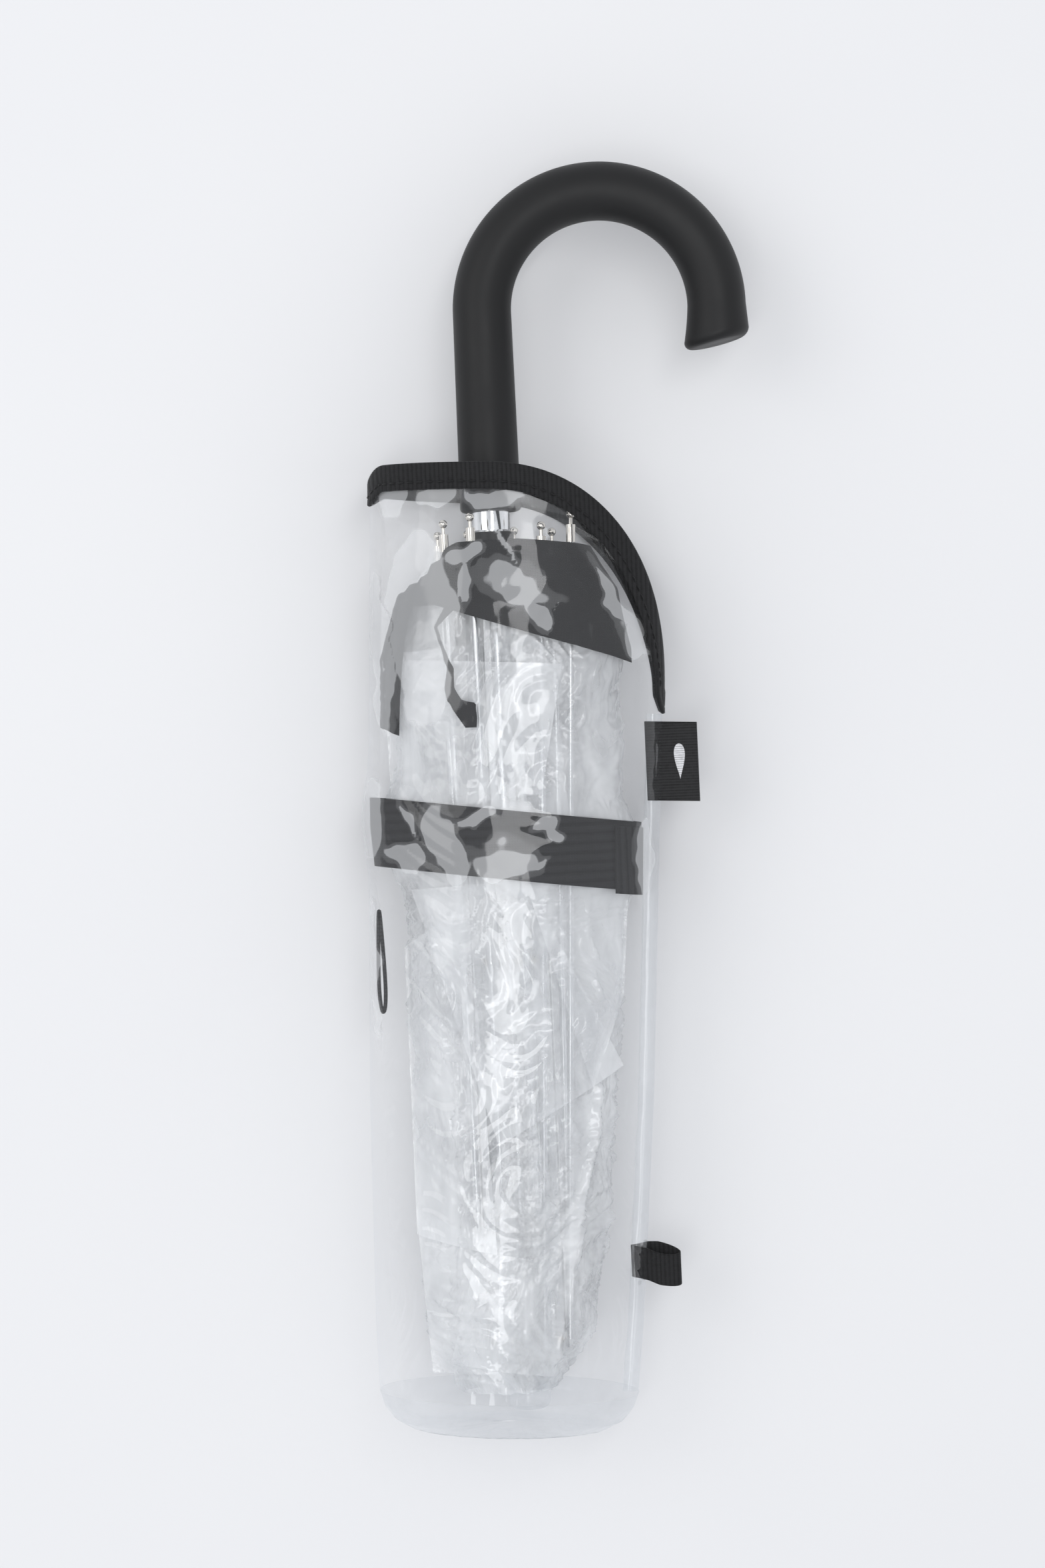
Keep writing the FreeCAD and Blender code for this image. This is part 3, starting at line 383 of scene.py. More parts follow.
def plastic_material(name, color, rough, grain_mm, strength):
    """Moulded plastic with a fine spark-eroded grain and faint handling marks."""
    g = Graph(name)
    grain = g.noise(g.stretched(grain_mm, grain_mm, grain_mm), detail=3.0)
    marks = g.noise(g.stretched(14.0, 22.0, 14.0), detail=3.0, distortion=0.4)
    roughness = g.ramp(marks, (0.3, rough - 0.05), (0.7, rough + 0.06))
    base = g.ramp(marks, (0.2, tuple(c * 0.85 for c in color)), (0.8, tuple(c * 1.15 for c in color)))
    return g.finish(g.add("ShaderNodeBsdfPrincipled", {
        "Base Color": base, "Roughness": roughness, "Normal": g.bump(grain, strength, 0.05),
        "Specular IOR Level": 0.32,
    }).outputs[0])


def metal_material(name, color, rough, brushed_mm=(0.4, 14.0, 0.4)):
    """Bright metal with drawing marks along the shaft."""
    g = Graph(name)
    marks = g.noise(g.stretched(*brushed_mm), detail=4.0)
    roughness = g.ramp(marks, (0.3, max(rough - 0.04, 0.02)), (0.7, rough + 0.08))
    base = g.ramp(marks, (0.2, tuple(c * 0.92 for c in color)), (0.8, color))
    return g.finish(g.add("ShaderNodeBsdfPrincipled", {
        "Base Color": base, "Metallic": 1.0, "Roughness": roughness, "Normal": g.bump(marks, 0.08, 0.03),
    }).outputs[0])


def dress(piece, material, slot_name, body, *replaced):
    """Gives a piece its material and body, and hides the CAD nodes that it stands for. The slot name is not used.
    """
    piece.data.materials.clear()
    piece.data.materials.append(material)
    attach(piece, body)
    if replaced:
        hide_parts(*replaced)
    return piece


# ---- Camera and light ---------------------------------------------------------------------------------------
def make_camera():
    """Straight above the umbrella, turned a little, so that the shaft leans as it lies."""
    data = bpy.data.cameras.new("camera")
    data.sensor_fit = "VERTICAL"
    data.sensor_height = 36.0
    data.lens = 76.0
    data.clip_start = 0.05
    camera = bpy.data.objects.new("camera", data)
    bpy.context.scene.collection.objects.link(camera)
    camera.location = at(6.2, -100.6, 1043.0)
    camera.rotation_euler = (0, 0, math.radians(-2.54))
    bpy.context.scene.camera = camera


def make_light(name, place_mm, size_mm, power, color=(1, 1, 1)):
    """A soft panel that faces the middle of the umbrella."""
    data = bpy.data.lights.new(name, "AREA")
    data.shape = "RECTANGLE"
    data.size, data.size_y = size_mm[0] * MM, size_mm[1] * MM
    data.energy = power
    data.color = color
    light = bpy.data.objects.new(name, data)
    bpy.context.scene.collection.objects.link(light)
    light.location = at(*place_mm)
    aim = at(0, -110, 0) - light.location
    light.rotation_euler = aim.to_track_quat("-Z", "Y").to_euler()


def make_stage():
    scene = bpy.context.scene
    scene.view_settings.view_transform = "Standard"
    scene.cycles.transparent_max_bounces = 48
    world = bpy.data.worlds.new("world")
    world.use_nodes = True
    world.node_tree.nodes["Background"].inputs["Color"].default_value = (0.94, 0.96, 1.0, 1)
    world.node_tree.nodes["Background"].inputs["Strength"].default_value = 0.78
    scene.world = world
    make_light("overhead_light", (60, -40, 1300), (260, 1300), 4.4)
    make_light("key_light", (-1000, 350, 1150), (900, 900), 3.4, (1.0, 0.99, 0.97))
    g = Graph("floor")
    tone = g.noise(g.stretched(160.0, 160.0, 160.0), detail=3.0)
    base = g.ramp(tone, (0.2, (0.83, 0.83, 0.84)), (0.8, (0.85, 0.85, 0.855)))
    paper = g.bump(g.noise(g.stretched(0.8, 0.8, 0.8), detail=4.0), 0.1, 0.05)
    material = g.finish(g.add("ShaderNodeBsdfPrincipled", {
        "Base Color": base, "Roughness": 0.9, "Normal": paper,
    }).outputs[0])
    reach = 3000.0
    corners = [(-reach, -reach), (reach, -reach), (reach, reach), (-reach, reach)]
    floor = mesh_piece("floor", [at(x, y, FLOOR_Z) for x, y in corners], [(0, 1, 2, 3)], smooth=False)
    floor.data.materials.append(material)


# ---- Handle -------------------------------------------------------------------------------------------------
def handle_rings():
    """The handle's sections, from foot to free end: centre, direction, radius, inner flare and lean."""
    rings = []
    for k in range(9):
        turn = math.radians(90 * k / 8)
        rings.append((0.0, FOOT_Y + FOOT_ROUND * (1 - math.sin(turn)), 0.0,
                      FOOT_R - FOOT_ROUND * (1 - math.cos(turn)), 0.0, 0.0))
    rings.reverse()
    leg_steps = 44
    for k in range(1, leg_steps + 1):
        share = k / leg_steps
        y = FOOT_Y + FOOT_ROUND + share * (ARCH_Y - FOOT_Y - FOOT_ROUND)
        rings.append((0.0, y, 0.0, FOOT_R + share * (PIPE_R - FOOT_R), 0.0, 0.0))
    arch_steps = 96
    for k in range(1, arch_steps + 1):
        turn = math.pi * k / arch_steps
        rings.append((ARCH_R * (1 - math.cos(turn)), ARCH_Y + ARCH_R * math.sin(turn), turn, PIPE_R, 0.0, 0.0))
    tip_steps = 16
    straight = TIP_RUN - TIP_ROUND
    for k in range(1, tip_steps + 1):
        share = k / tip_steps
        rings.append((2 * ARCH_R, ARCH_Y - share * straight, math.pi,
                      PIPE_R + share * (TIP_R - PIPE_R), 0.9 * share ** 2, TIP_SLANT * share))
    for k in range(1, 11):
        turn = math.radians(90 * k / 10)
        rings.append((2 * ARCH_R, ARCH_Y - straight - TIP_ROUND * math.sin(turn), math.pi,
                      TIP_R - TIP_ROUND * (1 - math.cos(turn)), 0.9 * math.cos(turn / 2), TIP_SLANT))
    return rings


def make_handle():
    """The crook, as one smooth pipe with rounded ends."""
    around = 72
    rows = []
    rings = handle_rings()
    first, last = rings[0], rings[-1]
    caps = [(first[0], first[1], first[2], first[3] * s, 0.0, 0.0) for s in (0.02, 0.6, 0.92)]
    ends = [(last[0], last[1] - 0.05, last[2], last[3] * s, last[4] * s, last[5]) for s in (0.95, 0.6, 0.02)]
    for x, y, turn, radius, flare, lean in caps + rings + ends:
        inward = np.array([math.cos(turn), -math.sin(turn), 0.0])
        row = []
        for j in range(around):
            a = 2 * math.pi * j / around
            reach = radius + flare * max(0.0, math.cos(a)) ** 2
            centre = np.array([x, y - lean * reach * math.cos(a), radius * math.sin(a)])
            row.append(centre + inward * reach * math.cos(a))
        rows.append(row)
    piece = grid_piece("crook_handle", rows, wrap_columns=True)
    material = plastic_material("soft_touch_black", (0.0105, 0.0105, 0.011), 0.5, 0.22, 0.35)
    dress(piece, material, "handle_plastic", "handle", "handle")


# ---- Sleeve -------------------------------------------------------------------------------------------------
FILM_AROUND = 261
FILM_ALONG = 330


def film_swell(angle, y):
    """How far the sleeve's film stands in from its full shape: soft waves, and pulls from the mouth's turn."""
    x = math.cos(angle) * 45
    top = math.sin(angle)
    wave = 0.9 * (1 + soft_noise(x / 17, y / 46, 3.3 + top)) * 0.5
    pull = 0.9 * folds(x, y, 15.0, 5.0, 11.0 + 3 * (top > 0)) * bump_at(x, y, 26, -30, 26, 60)
    crumple = 0.55 * facets(x, y, 21.0, 21.0 + 2 * (top > 0))
    edge = min(1.0, abs(top) * 2.2)
    floor = 0.35 if top < -0.8 else 1.0
    return (wave + pull + crumple) * edge * floor


# Painted sheen on the sleeve's film: white milk in patches over the black pieces under it, in place of the light
# that the film mirrors there. Each patch has its middle (across, along), its two half lengths, the turn of the
# first one in degrees, and its level.
PAINTED_SHEEN_PATCHES = (
    (7, -40, 10, 5, -30, 0.3), (4, -24, 8, 1, -70, 0.3), (13, -50, 4, 2, -70, 0.3), (-23, -52, 21, 7, 90, 0.4),
    (-37, -58, 22, 3, 90, 0.3), (-9, -38, 6, 2, 80, 0.3), (40, -48, 15, 2, -60, 0.3), (42, -57, 6, 3, -60, 0.3),
    (-30, -10, 4, 4, 0, 0.3), (-16, -11, 6, 3, 10, 0.3), (2, -12, 8, 2, -10, 0.3), (-9, -29, 5, 2, 20, 0.3),
    (-18, -118, 12, 4, -70, 0.3), (-30, -122, 6, 3, -15, 0.3), (-29, -110, 6, 1, -75, 0.3),
    (-1, -124, 8, 5, -10, 0.3), (-9, -110, 5, 2, 0, 0.3), (12, -113, 4, 2, 30, 0.3), (-42, -110, 12, 4, 90, 0.3),
    (16, -116, 3, 2, 0, 0.3), (-43, -156, 18, 2, 90, 0.3), (9, -126, 5, 1, 20, 0.2), (43, -124, 12, 3, 90, 0.3),
)
NO_SHEEN_LEVEL = 0.27                 # the level with no painted sheen


def painted_sheen_level(x, y):
    """How much painted sheen the film shows here, as white milk: it looks milky where this is over about a half."""
    drift_x = 3.4 * soft_noise(x / 9, y / 11, 2.2) + 1.5 * soft_noise(x / 3.4, y / 4.2, 4.4)
    drift_y = 4.2 * soft_noise(x / 10, y / 12, 6.6) + 1.8 * soft_noise(x / 3.6, y / 4.4, 8.8)
    level = NO_SHEEN_LEVEL + 0.22 * soft_noise((x + 2 * drift_x) / 8, (y + 2 * drift_y) / 15, 5.0)
    for centre_x, centre_y, long_half, short_half, turn, height in PAINTED_SHEEN_PATCHES:
        dx, dy = x + drift_x - centre_x, y + drift_y - centre_y
        if abs(dx) + abs(dy) > 2 * long_half:
            continue
        c, s = math.cos(math.radians(turn)), math.sin(math.radians(turn))
        away = math.hypot((dx * c + dy * s) / long_half, (dy * c - dx * s) / short_half)
        level = max(level, NO_SHEEN_LEVEL + height + 0.28 * (1 - away))
    return level


STRAP_BULGE_Y = -112.0
STRAP_BULGE = 2.4               # the strap's fold pushes the film out on the left


def left_bulge(angle, y):
    """1 at the left edge beside the strap, falling smoothly to 0."""
    return math.exp(-((angle % (2 * math.pi) - math.pi) / 0.5) ** 2 - ((y - STRAP_BULGE_Y) / 13) ** 2)


def make_sleeve_film(material):
    """The sleeve's sheet of film, from the mouth's line down to the base; its two edges meet in the seam."""
    rows, painted_sheen_levels = [], []
    for i in range(FILM_ALONG):
        share = i / (FILM_ALONG - 1)
        row = []
        for j in range(FILM_AROUND):
            angle = 2 * math.pi * j / (FILM_AROUND - 1)
            width = section_at(SLEEVE_SECTIONS, -20.0)[0]
            start = mouth_y(width * math.cos(angle)) - 0.6
            y = start + share * (BASE_Y - start)
            depth = 0.2 + film_swell(angle, y) * min(1.0, (start - y) / 6) - STRAP_BULGE * left_bulge(angle, y)
            point = skewed(*sleeve_local(angle, y, depth))
            row.append(point)
            # painted sheen level at each point of the upper faces; the lower faces get none
            painted_sheen_levels.append(painted_sheen_level(point[0], point[1]) if math.sin(angle) > -0.35 else NO_SHEEN_LEVEL)
        rows.append(row)
    piece = grid_piece("sleeve_film_tube", rows)
    piece.data.attributes.new("painted_sheen_level", "FLOAT", "POINT").data.foreach_set("value", painted_sheen_levels)
    dress(piece, material, "sleeve_film", "sleeve", "sleeve_film")


def make_sleeve_base(material):
    """The gathered bottom of the sleeve: it turns in over the end and closes in a flat panel."""
    around = 200
    rows = []
    for i in range(40):
        share = i / 39
        y = BASE_Y + (BASE_END_Y - BASE_Y) * math.sin(share * math.pi / 2)
        row = []
        for j in range(around):
            angle = 2 * math.pi * j / around
            gather = 0.5 * soft_noise(math.cos(angle) * 6, math.sin(angle) * 6, y / 9) * share
            wrinkle = 0.8 * facets(angle * 14, y, 7.0, 5.0) * share
            row.append(skewed(*sleeve_local(angle, y, 0.2 + gather * 0.6 + wrinkle * 0.5)))
        rows.append(row)
    last = np.array(rows[-1])
    middle = last.mean(axis=0)
    for k in range(1, 14):
        shrink = 1 - k / 14
        ring = middle + (last - middle) * shrink
        for j, point in enumerate(ring):
            point[1] += 0.9 * facets(point[0], point[2], 9.0, 9.0) * (k / 14) + 0.6 * (1 - shrink)
        rows.append(ring.tolist())
    piece = grid_piece("sleeve_base_panel", rows, wrap_columns=True)
    dress(piece, material, "sleeve_film", "sleeve", "sleeve_base")


# The mouth's line is worked with on the film laid flat: a distance round the section, and a place along it.
ROUND_STEPS = 720


def half_section(y):
    """Distances round the upper half of the sleeve's section, from the left fold to the seam, and their angles."""
    angles = np.linspace(math.pi, 0, ROUND_STEPS)
    width, half = section_at(SLEEVE_SECTIONS, y)
    steps = np.hypot(np.diff(width * np.cos(angles)), np.diff(half * np.sin(angles)))
    return np.concatenate([[0], np.cumsum(steps)]), angles


ROUND, ROUND_ANGLES = half_section(-40.0)
ROUND_LENGTH = ROUND[-1]


def on_half(distance, y, face, out):
    """A point on the front (face 1) or back (face -1) half, from its flat place, standing out by a distance."""
    angle = float(np.interp(distance, ROUND, ROUND_ANGLES)) * face
    if distance < 0:
        angle = (math.pi - distance / ROUND_LENGTH * math.pi) * face
    return skewed(*sleeve_local(angle, y, -out))


def mouth_flat():
    """The mouth's line laid flat, at even steps from the left fold to the seam."""
    width = section_at(SLEEVE_SECTIONS, -20.0)[0]
    line = np.array([(d, mouth_y(width * math.cos(a))) for d, a in zip(ROUND, ROUND_ANGLES)])
    steps = np.concatenate([[0], np.cumsum(np.hypot(*np.diff(line, axis=0).T))])
    even = np.linspace(0, steps[-1], 260)
    return np.array([np.interp(even, steps, line[:, 0]), np.interp(even, steps, line[:, 1])]).T, even


def mouth_normals(line):
    """Square to the mouth's line laid flat, pointing down into the sleeve."""
    tangents = np.gradient(line, axis=0)
    tangents /= np.linalg.norm(tangents, axis=1)[:, None]
    return np.stack([tangents[:, 1], -tangents[:, 0]], axis=1)


def make_binding(cloth, thread):
    """Tape folded over the mouth all the way round, with a line of lock stitches on each face."""
    line, even = mouth_flat()
    normals = mouth_normals(line)
    thick = 0.55
    profile = [(BINDING_WIDTH, 0.12), (BINDING_WIDTH - 0.25, thick), (STITCH_FROM_LIP + 0.5, thick * 0.95),
               (STITCH_FROM_LIP, thick * 0.72), (STITCH_FROM_LIP - 0.5, thick * 0.95), (3.0, thick * 1.15),
               (0.8, thick * 1.2), (-0.1, thick * 0.95), (-0.6, 0.3), (-0.75, 0.0)]
    inner = [(d, -t * 0.75) for d, t in reversed(profile[:-1])]
    loop = profile + inner
    rows = []
    for face in (1, -1):
        order = range(len(line)) if face == -1 else range(len(line) - 1, -1, -1)
        for k in order:
            if face == -1 and k == 0:
                continue
            distance, y = line[k]
            pucker = 0.10 * math.sin(2 * math.pi * even[k] / STITCH_PITCH)
            row = []
            for drop, out in loop:
                d = distance + normals[k][0] * drop
                lean = out + (pucker if out > 0.2 and drop > 3 else 0.0)
                row.append(on_half(min(d, ROUND_LENGTH - 0.02), y + normals[k][1] * drop, face, lean))
            rows.append(row)
    piece = grid_piece("mouth_binding_tape", rows, wrap_columns=True)
    dress(piece, cloth, "binding_tape", "sleeve", "mouth_binding")

    verts, faces = [], []
    for face in (1, -1):
        for start in np.arange(1.0, even[-1] - 3, STITCH_PITCH):
            distance = np.interp(start, even, line[:, 0])
            if face == -1 and on_half(distance, -40.0, face, 0.0)[2] < FLOOR_Z + 1.0:
                continue
            add_stitch(verts, faces, line, normals, even, start, face)
    stitches = mesh_piece("mouth_stitches", place(verts), faces)
    dress(stitches, thread, "binding_tape", "sleeve")


def add_stitch(verts, faces, line, normals, even, start, face):
    """One stitch: a short round thread that dips into the tape at both ends."""
    length, radius, around, steps = 2.5, 0.22, 8, 7
    base = len(verts)
    for i in range(steps):
        share = i / (steps - 1)
        place_along = start + share * length
        centre = np.array([np.interp(place_along, even, line[:, 0]), np.interp(place_along, even, line[:, 1])])
        normal = np.array([np.interp(place_along, even, normals[:, k]) for k in (0, 1)])
        lift = 0.42 + 0.3 * math.sin(math.pi * share) ** 0.5
        fat = radius * (0.35 + 0.65 * math.sin(math.pi * share) ** 0.5)
        for j in range(around):
            a = 2 * math.pi * j / around
            flat = centre + normal * (STITCH_FROM_LIP + fat * math.cos(a))
            verts.append(on_half(min(flat[0], ROUND_LENGTH - 0.02), flat[1], face, lift + fat * math.sin(a)))
    for i in range(steps - 1):
        for j in range(around):
            m = (j + 1) % around
            faces.append((base + i * around + j, base + i * around + m,
                          base + (i + 1) * around + m, base + (i + 1) * around + j))
    faces.append(tuple(base + j for j in range(around - 1, -1, -1)))
    faces.append(tuple(base + (steps - 1) * around + j for j in range(around)))


def make_seam(material):
    """The seam's two turned-in layers, down the sleeve's right edge."""
    rows = []
    for i in range(160):
        y = SEAM_TOP + (BASE_Y - SEAM_TOP) * i / 159
        edge = section_at(SLEEVE_SECTIONS, y)[0] - 0.45
        row = []
        for z, reach in ((0.45, 0.0), (0.45, 4.6), (0.2, 4.8), (-0.2, 4.8), (-0.45, 4.6), (-0.45, 0.0)):
            ripple = 0.35 * soft_noise(y / 13, reach, 1.0)
            row.append(skewed(edge - reach + ripple * (reach > 0), y, z + 0.3 * ripple))
        rows.append(row)
    piece = grid_piece("side_seam_layers", rows, wrap_columns=True)
    dress(piece, material, "sleeve_seam", "sleeve", "side_seam")


# ---- Label and hanging loop ---------------------------------------------------------------------------------
def tape_solid(name, centre_line, width_points, thickness):
    """A tape from its middle line: each point has a place, a width direction and a thickness direction."""
    rows = []
    for centre, across, out in centre_line:
        row = [np.array(centre) + np.array(across) * u + np.array(out) * thickness / 2 for u in width_points]
        row += [np.array(centre) + np.array(across) * u - np.array(out) * thickness / 2 for u in width_points[::-1]]
        rows.append(row)
    count = 2 * len(width_points)
    faces = grid_faces(len(rows), count, wrap_columns=True)
    faces.append(tuple(range(count - 1, -1, -1)))
    faces.append(tuple((len(rows) - 1) * count + i for i in range(count)))
    return mesh_piece(name, place(rows), faces)


LABEL_TOP = -80.5
LABEL_HEIGHT = 25.0


def label_frame(share, lift):
    """A place on the folded label: out from the seam, and over its folded edge."""
    edge = section_at(SLEEVE_SECTIONS, LABEL_TOP - LABEL_HEIGHT)[0] - 5.0
    x = edge + share
    return skewed(x, LABEL_TOP - LABEL_HEIGHT / 2, lift - 0.0032 * max(0.0, share - 5.0) ** 2)


def make_label(cloth, thread):
    """A woven label folded over at its outer edge, with a plain raindrop in place of a mark."""
    fold = 16.0
    line = []
    for k in range(34):
        share = fold * k / 33
        line.append((label_frame(share, 0.42), (0, 1, 0), (0, 0, 1)))
    for k in range(1, 9):
        turn = math.pi * k / 9
        line.append((label_frame(fold + 0.42 * math.sin(turn), 0.42 * math.cos(turn)), (0, 1, 0),
                     (math.sin(turn), 0, math.cos(turn))))
    for k in range(33, -1, -1):
        share = fold * k / 33
        line.append((label_frame(share, -0.42), (0, 1, 0), (0, 0, -1)))
    half = LABEL_HEIGHT / 2
    widths = [half * (-1 + 2 * i / 24) for i in range(25)]
    piece = tape_solid("side_label_tape", line, widths, 0.34)
    dress(piece, cloth, "label_weave", "sleeve", "side_label")

    outline = []
    for k in range(48):
        a = 2 * math.pi * k / 48
        pinch = math.sin(a / 2) ** 1.6
        outline.append((2.5 * math.sin(a) * pinch, 5.6 * math.cos(a)))
    verts, faces = [], []
    for z in (0.60, 0.78):
        for u, v in outline:
            x, y, base_z = label_frame(10.6 + u, 0.0)
            verts.append((x, y - v, base_z + z))
    count = len(outline)
    faces.append(tuple(range(count, 2 * count)))
    for k in range(count):
        m = (k + 1) % count
        faces.append((k, m, count + m, count + k))
    drop = mesh_piece("label_raindrop", place(verts), faces, smooth=False)
    dress(drop, thread, "label_weave", "sleeve")


HANG_LOOP_TOP = -245.5
HANG_LOOP_WIDTH = 10.0


def make_hang_loop(cloth):
    """A tape folded into a loop that droops towards the base, with its two ends caught in the seam."""
    start = section_at(SLEEVE_SECTIONS, HANG_LOOP_TOP)[0] - 5.0
    reach, open_height = 15.2, 2.1
    line = []
    steps = 60
    for k in range(steps + 1):
        turn = 2 * math.pi * k / steps
        share = (1 - math.cos(turn)) / 2
        swell = math.sin(turn) * min(1.0, share * 1.6 + 0.12)
        x, z = start + reach * share, open_height * swell
        y = HANG_LOOP_TOP - HANG_LOOP_WIDTH / 2 - 0.2 * max(0.0, reach * share - 5.0) - 0.75 * z
        dx, dz = math.sin(turn) * reach / 2, open_height * math.cos(turn) + 0.001
        size = math.hypot(dx, dz)
        line.append((skewed(x, y, z - 0.5 * share), (0, 1, 0), (-dz / size, 0, dx / size)))
    half = HANG_LOOP_WIDTH / 2
    widths = [half * (-1 + 2 * i / 12) for i in range(13)]
    piece = tape_solid("hanging_loop_tape", line, widths, 0.6)
    dress(piece, cloth, "binding_tape", "sleeve", "hang_loop")


# ---- Folded canopy ------------------------------------------------------------------------------------------
# The lines of the folded film's standing creases: (across, along) points and how high each crease stands.
RIDGES = [
    ([(30, -196), (27, -215), (19, -243), (11, -280)], 2.6),
    ([(-21, -185), (-21.5, -235), (-22, -284)], 1.8),
    ([(-10, -131), (-5, -158), (0, -182)], 2.0),
    ([(26, -133), (28, -150), (30, -172)], 1.8),
    ([(-30, -130), (-27, -160), (-24, -186)], 1.6),
    ([(22, -62), (16, -84), (14, -106)], 1.5),
    ([(29, -64), (24, -88), (21, -108)], 1.3),
    ([(5, -205), (12, -222), (22, -236)], 1.4),
]
RIDGE_HALF_WIDTH = 2.6


def from_line(x, y, points):
    """The distance from a place to a line of points."""
    best = 1e9
    for (x0, y0), (x1, y1) in zip(points, points[1:]):
        dx, dy = x1 - x0, y1 - y0
        share = min(max(((x - x0) * dx + (y - y0) * dy) / (dx * dx + dy * dy), 0.0), 1.0)
        best = min(best, math.hypot(x - x0 - share * dx, y - y0 - share * dy))
    return best


def strap_middle(x):
    return STRAP_MIDDLE - x * math.tan(STRAP_LEAN)


def under_strap(x, y):
    """1 under the closing strap, and 0 clear of it."""
    away = abs(y - strap_middle(x)) - STRAP_WIDTH / 2
    return min(1.0, max(0.0, 1 - away / 9))


def crumple(x, y, face, seed):
    """How deep the folded film stands in from the bundle's full shape: crumples, long folds and facets."""
    busy = 0.35 + 1.1 * bump_at(x, y, 8, -72, 18, 34) + 0.9 * bump_at(x, y, -2, -160, 17, 46)
    busy += 0.7 * bump_at(x, y, 2, -222, 22, 26)
    fine = facets(x, y, 8.5, seed) * 2.1 + facets(x, y, 4.2, seed + 3) * 1.1 * bump_at(x, y, 6, -78, 17, 30)
    broad = facets(x, y, 26.0, seed + 9) * 2.6
    long_folds = folds(x, y, 9.0, 7.0, seed + 5) * 1.7
    depth = busy * fine + broad + long_folds
    if face > 0:
        for points, height in RIDGES:
            away = from_line(x, y, points)
            if away < RIDGE_HALF_WIDTH:
                depth -= height * (1 - away / RIDGE_HALF_WIDTH)
    return max(depth, 0.0) * (1 - 0.85 * under_strap(x, y))


LAP_START = math.radians(60)    # where the rolled film's free edge lies, round the bundle from its right edge
LAP = math.radians(38)
LAP_GAP = 1.2


def canopy_turn(name, around, along, sunk, seed, top, end=CANOPY_END_Y + 3):
    """One turn of the folded canopy: a sheet of film rolled round the ribs, whose free edge laps over its start."""
    rows = []
    for i in range(along):
        y = top + (end - top) * i / (along - 1)
        row = []
        for j in range(around):
            share = j / (around - 1)
            angle = LAP_START + share * (2 * math.pi + LAP)
            x, _, _ = canopy_point(angle, y)
            depth = 0.3 + sunk + LAP_GAP * (1 - share)
            depth += crumple(x, y, math.sin(angle), seed + 40 * (math.sin(angle) < 0))
            row.append(canopy_point(angle, y, -depth))
        rows.append(row)
    return grid_piece(name, rows)


def make_canopy(film, hem):
    """The outer turn of folded film, and loose pleats inside it."""
    outer = canopy_turn("canopy_outer_turn", 330, 380, 0.4, 1.0, CANOPY_TOP_Y - 2)
    dress(outer, film, "canopy_film", "umbrella", "canopy_film")
    for number, (corners, level) in enumerate(PLEATS, 1):
        pleat = make_pleat("canopy_pleat_%d" % number, corners, level, 60.0 + number)
        dress(pleat, film, "canopy_film", "umbrella")


# Pleats that lie inside the outer turn: the corners (across, along) of each, and its level over the shaft.
PLEATS = [
    ([(-36, -60), (20, -64), (12, -104), (-35, -108)], 19.5),
    ([(-30, -132), (6, -130), (34, -190), (-6, -212)], 19.0),
    ([(6, -132), (38, -134), (35, -168), (24, -196)], 20.0),
    ([(-33, -150), (-12, -136), (-8, -246), (-33, -240)], 18.2),
    ([(-4, -206), (28, -196), (8, -286), (-24, -280)], 17.0),
    ([(-33, -232), (10, -250), (8, -284), (-30, -284)], 15.0),
]


def make_pleat(name, corners, level, seed):
    """A loose pleat with straight edges, bent over the bundle, with the film's facets."""
    steps = 70
    a, b, c, d = (np.array(p, float) for p in corners)
    rows = []
    for i in range(steps):
        v = i / (steps - 1)
        row = []
        for j in range(steps):
            u = j / (steps - 1)
            x, y = (1 - v) * ((1 - u) * a + u * b) + v * ((1 - u) * d + u * c)
            left, right, half = section_at(CANOPY_SECTIONS, y)
            centre, reach = (left + right) / 2, (right - left) / 2 - 4
            arch = math.sqrt(max(0.05, 1 - min(1.0, ((x - centre) / reach) ** 2)))
            z = level * arch * half / 25.0 + 1.2 * facets(x, y, 15.0, seed) + 0.8 * folds(x, y, 7.0, 6.0, seed)
            row.append((x, y, z))
        rows.append(row)
    return grid_piece(name, rows)


# The hem's edges in front, from left to right: (across, along). The pleats on the left fan out in steps.
HEM_TOP = ((-41, -40), (-34.2, -39), (-34, -37), (-31.2, -36.5), (-31, -35), (-28.2, -34), (-28, -31),
           (-24.2, -30), (-24, -26.5), (-19, -25), (10, -25), (46, -27))
HEM_BOTTOM = ((-41, -76), (-38, -80), (-30.6, -84), (-30.4, -44), (-22, -44), (46, -65))
HEM_BACK = -54.0


def edge_at(edge, x):
    """A place along the shaft on an edge given from left to right."""
    return float(np.interp(x, [p[0] for p in edge], [p[1] for p in edge]))


# The end of the hem that hangs loose between the pleats: along, left edge, right edge.
LOOSE_FOLD = ((-45, -15.5, -11.5), (-51, -19, -18), (-58, -17, -16), (-64, -15.5, -13.5), (-70, -16.5, -13.5),
              (-74, -16, -11.5), (-75, -15, -7), (-79, -13, -7), (-82.5, -10.5, -7))


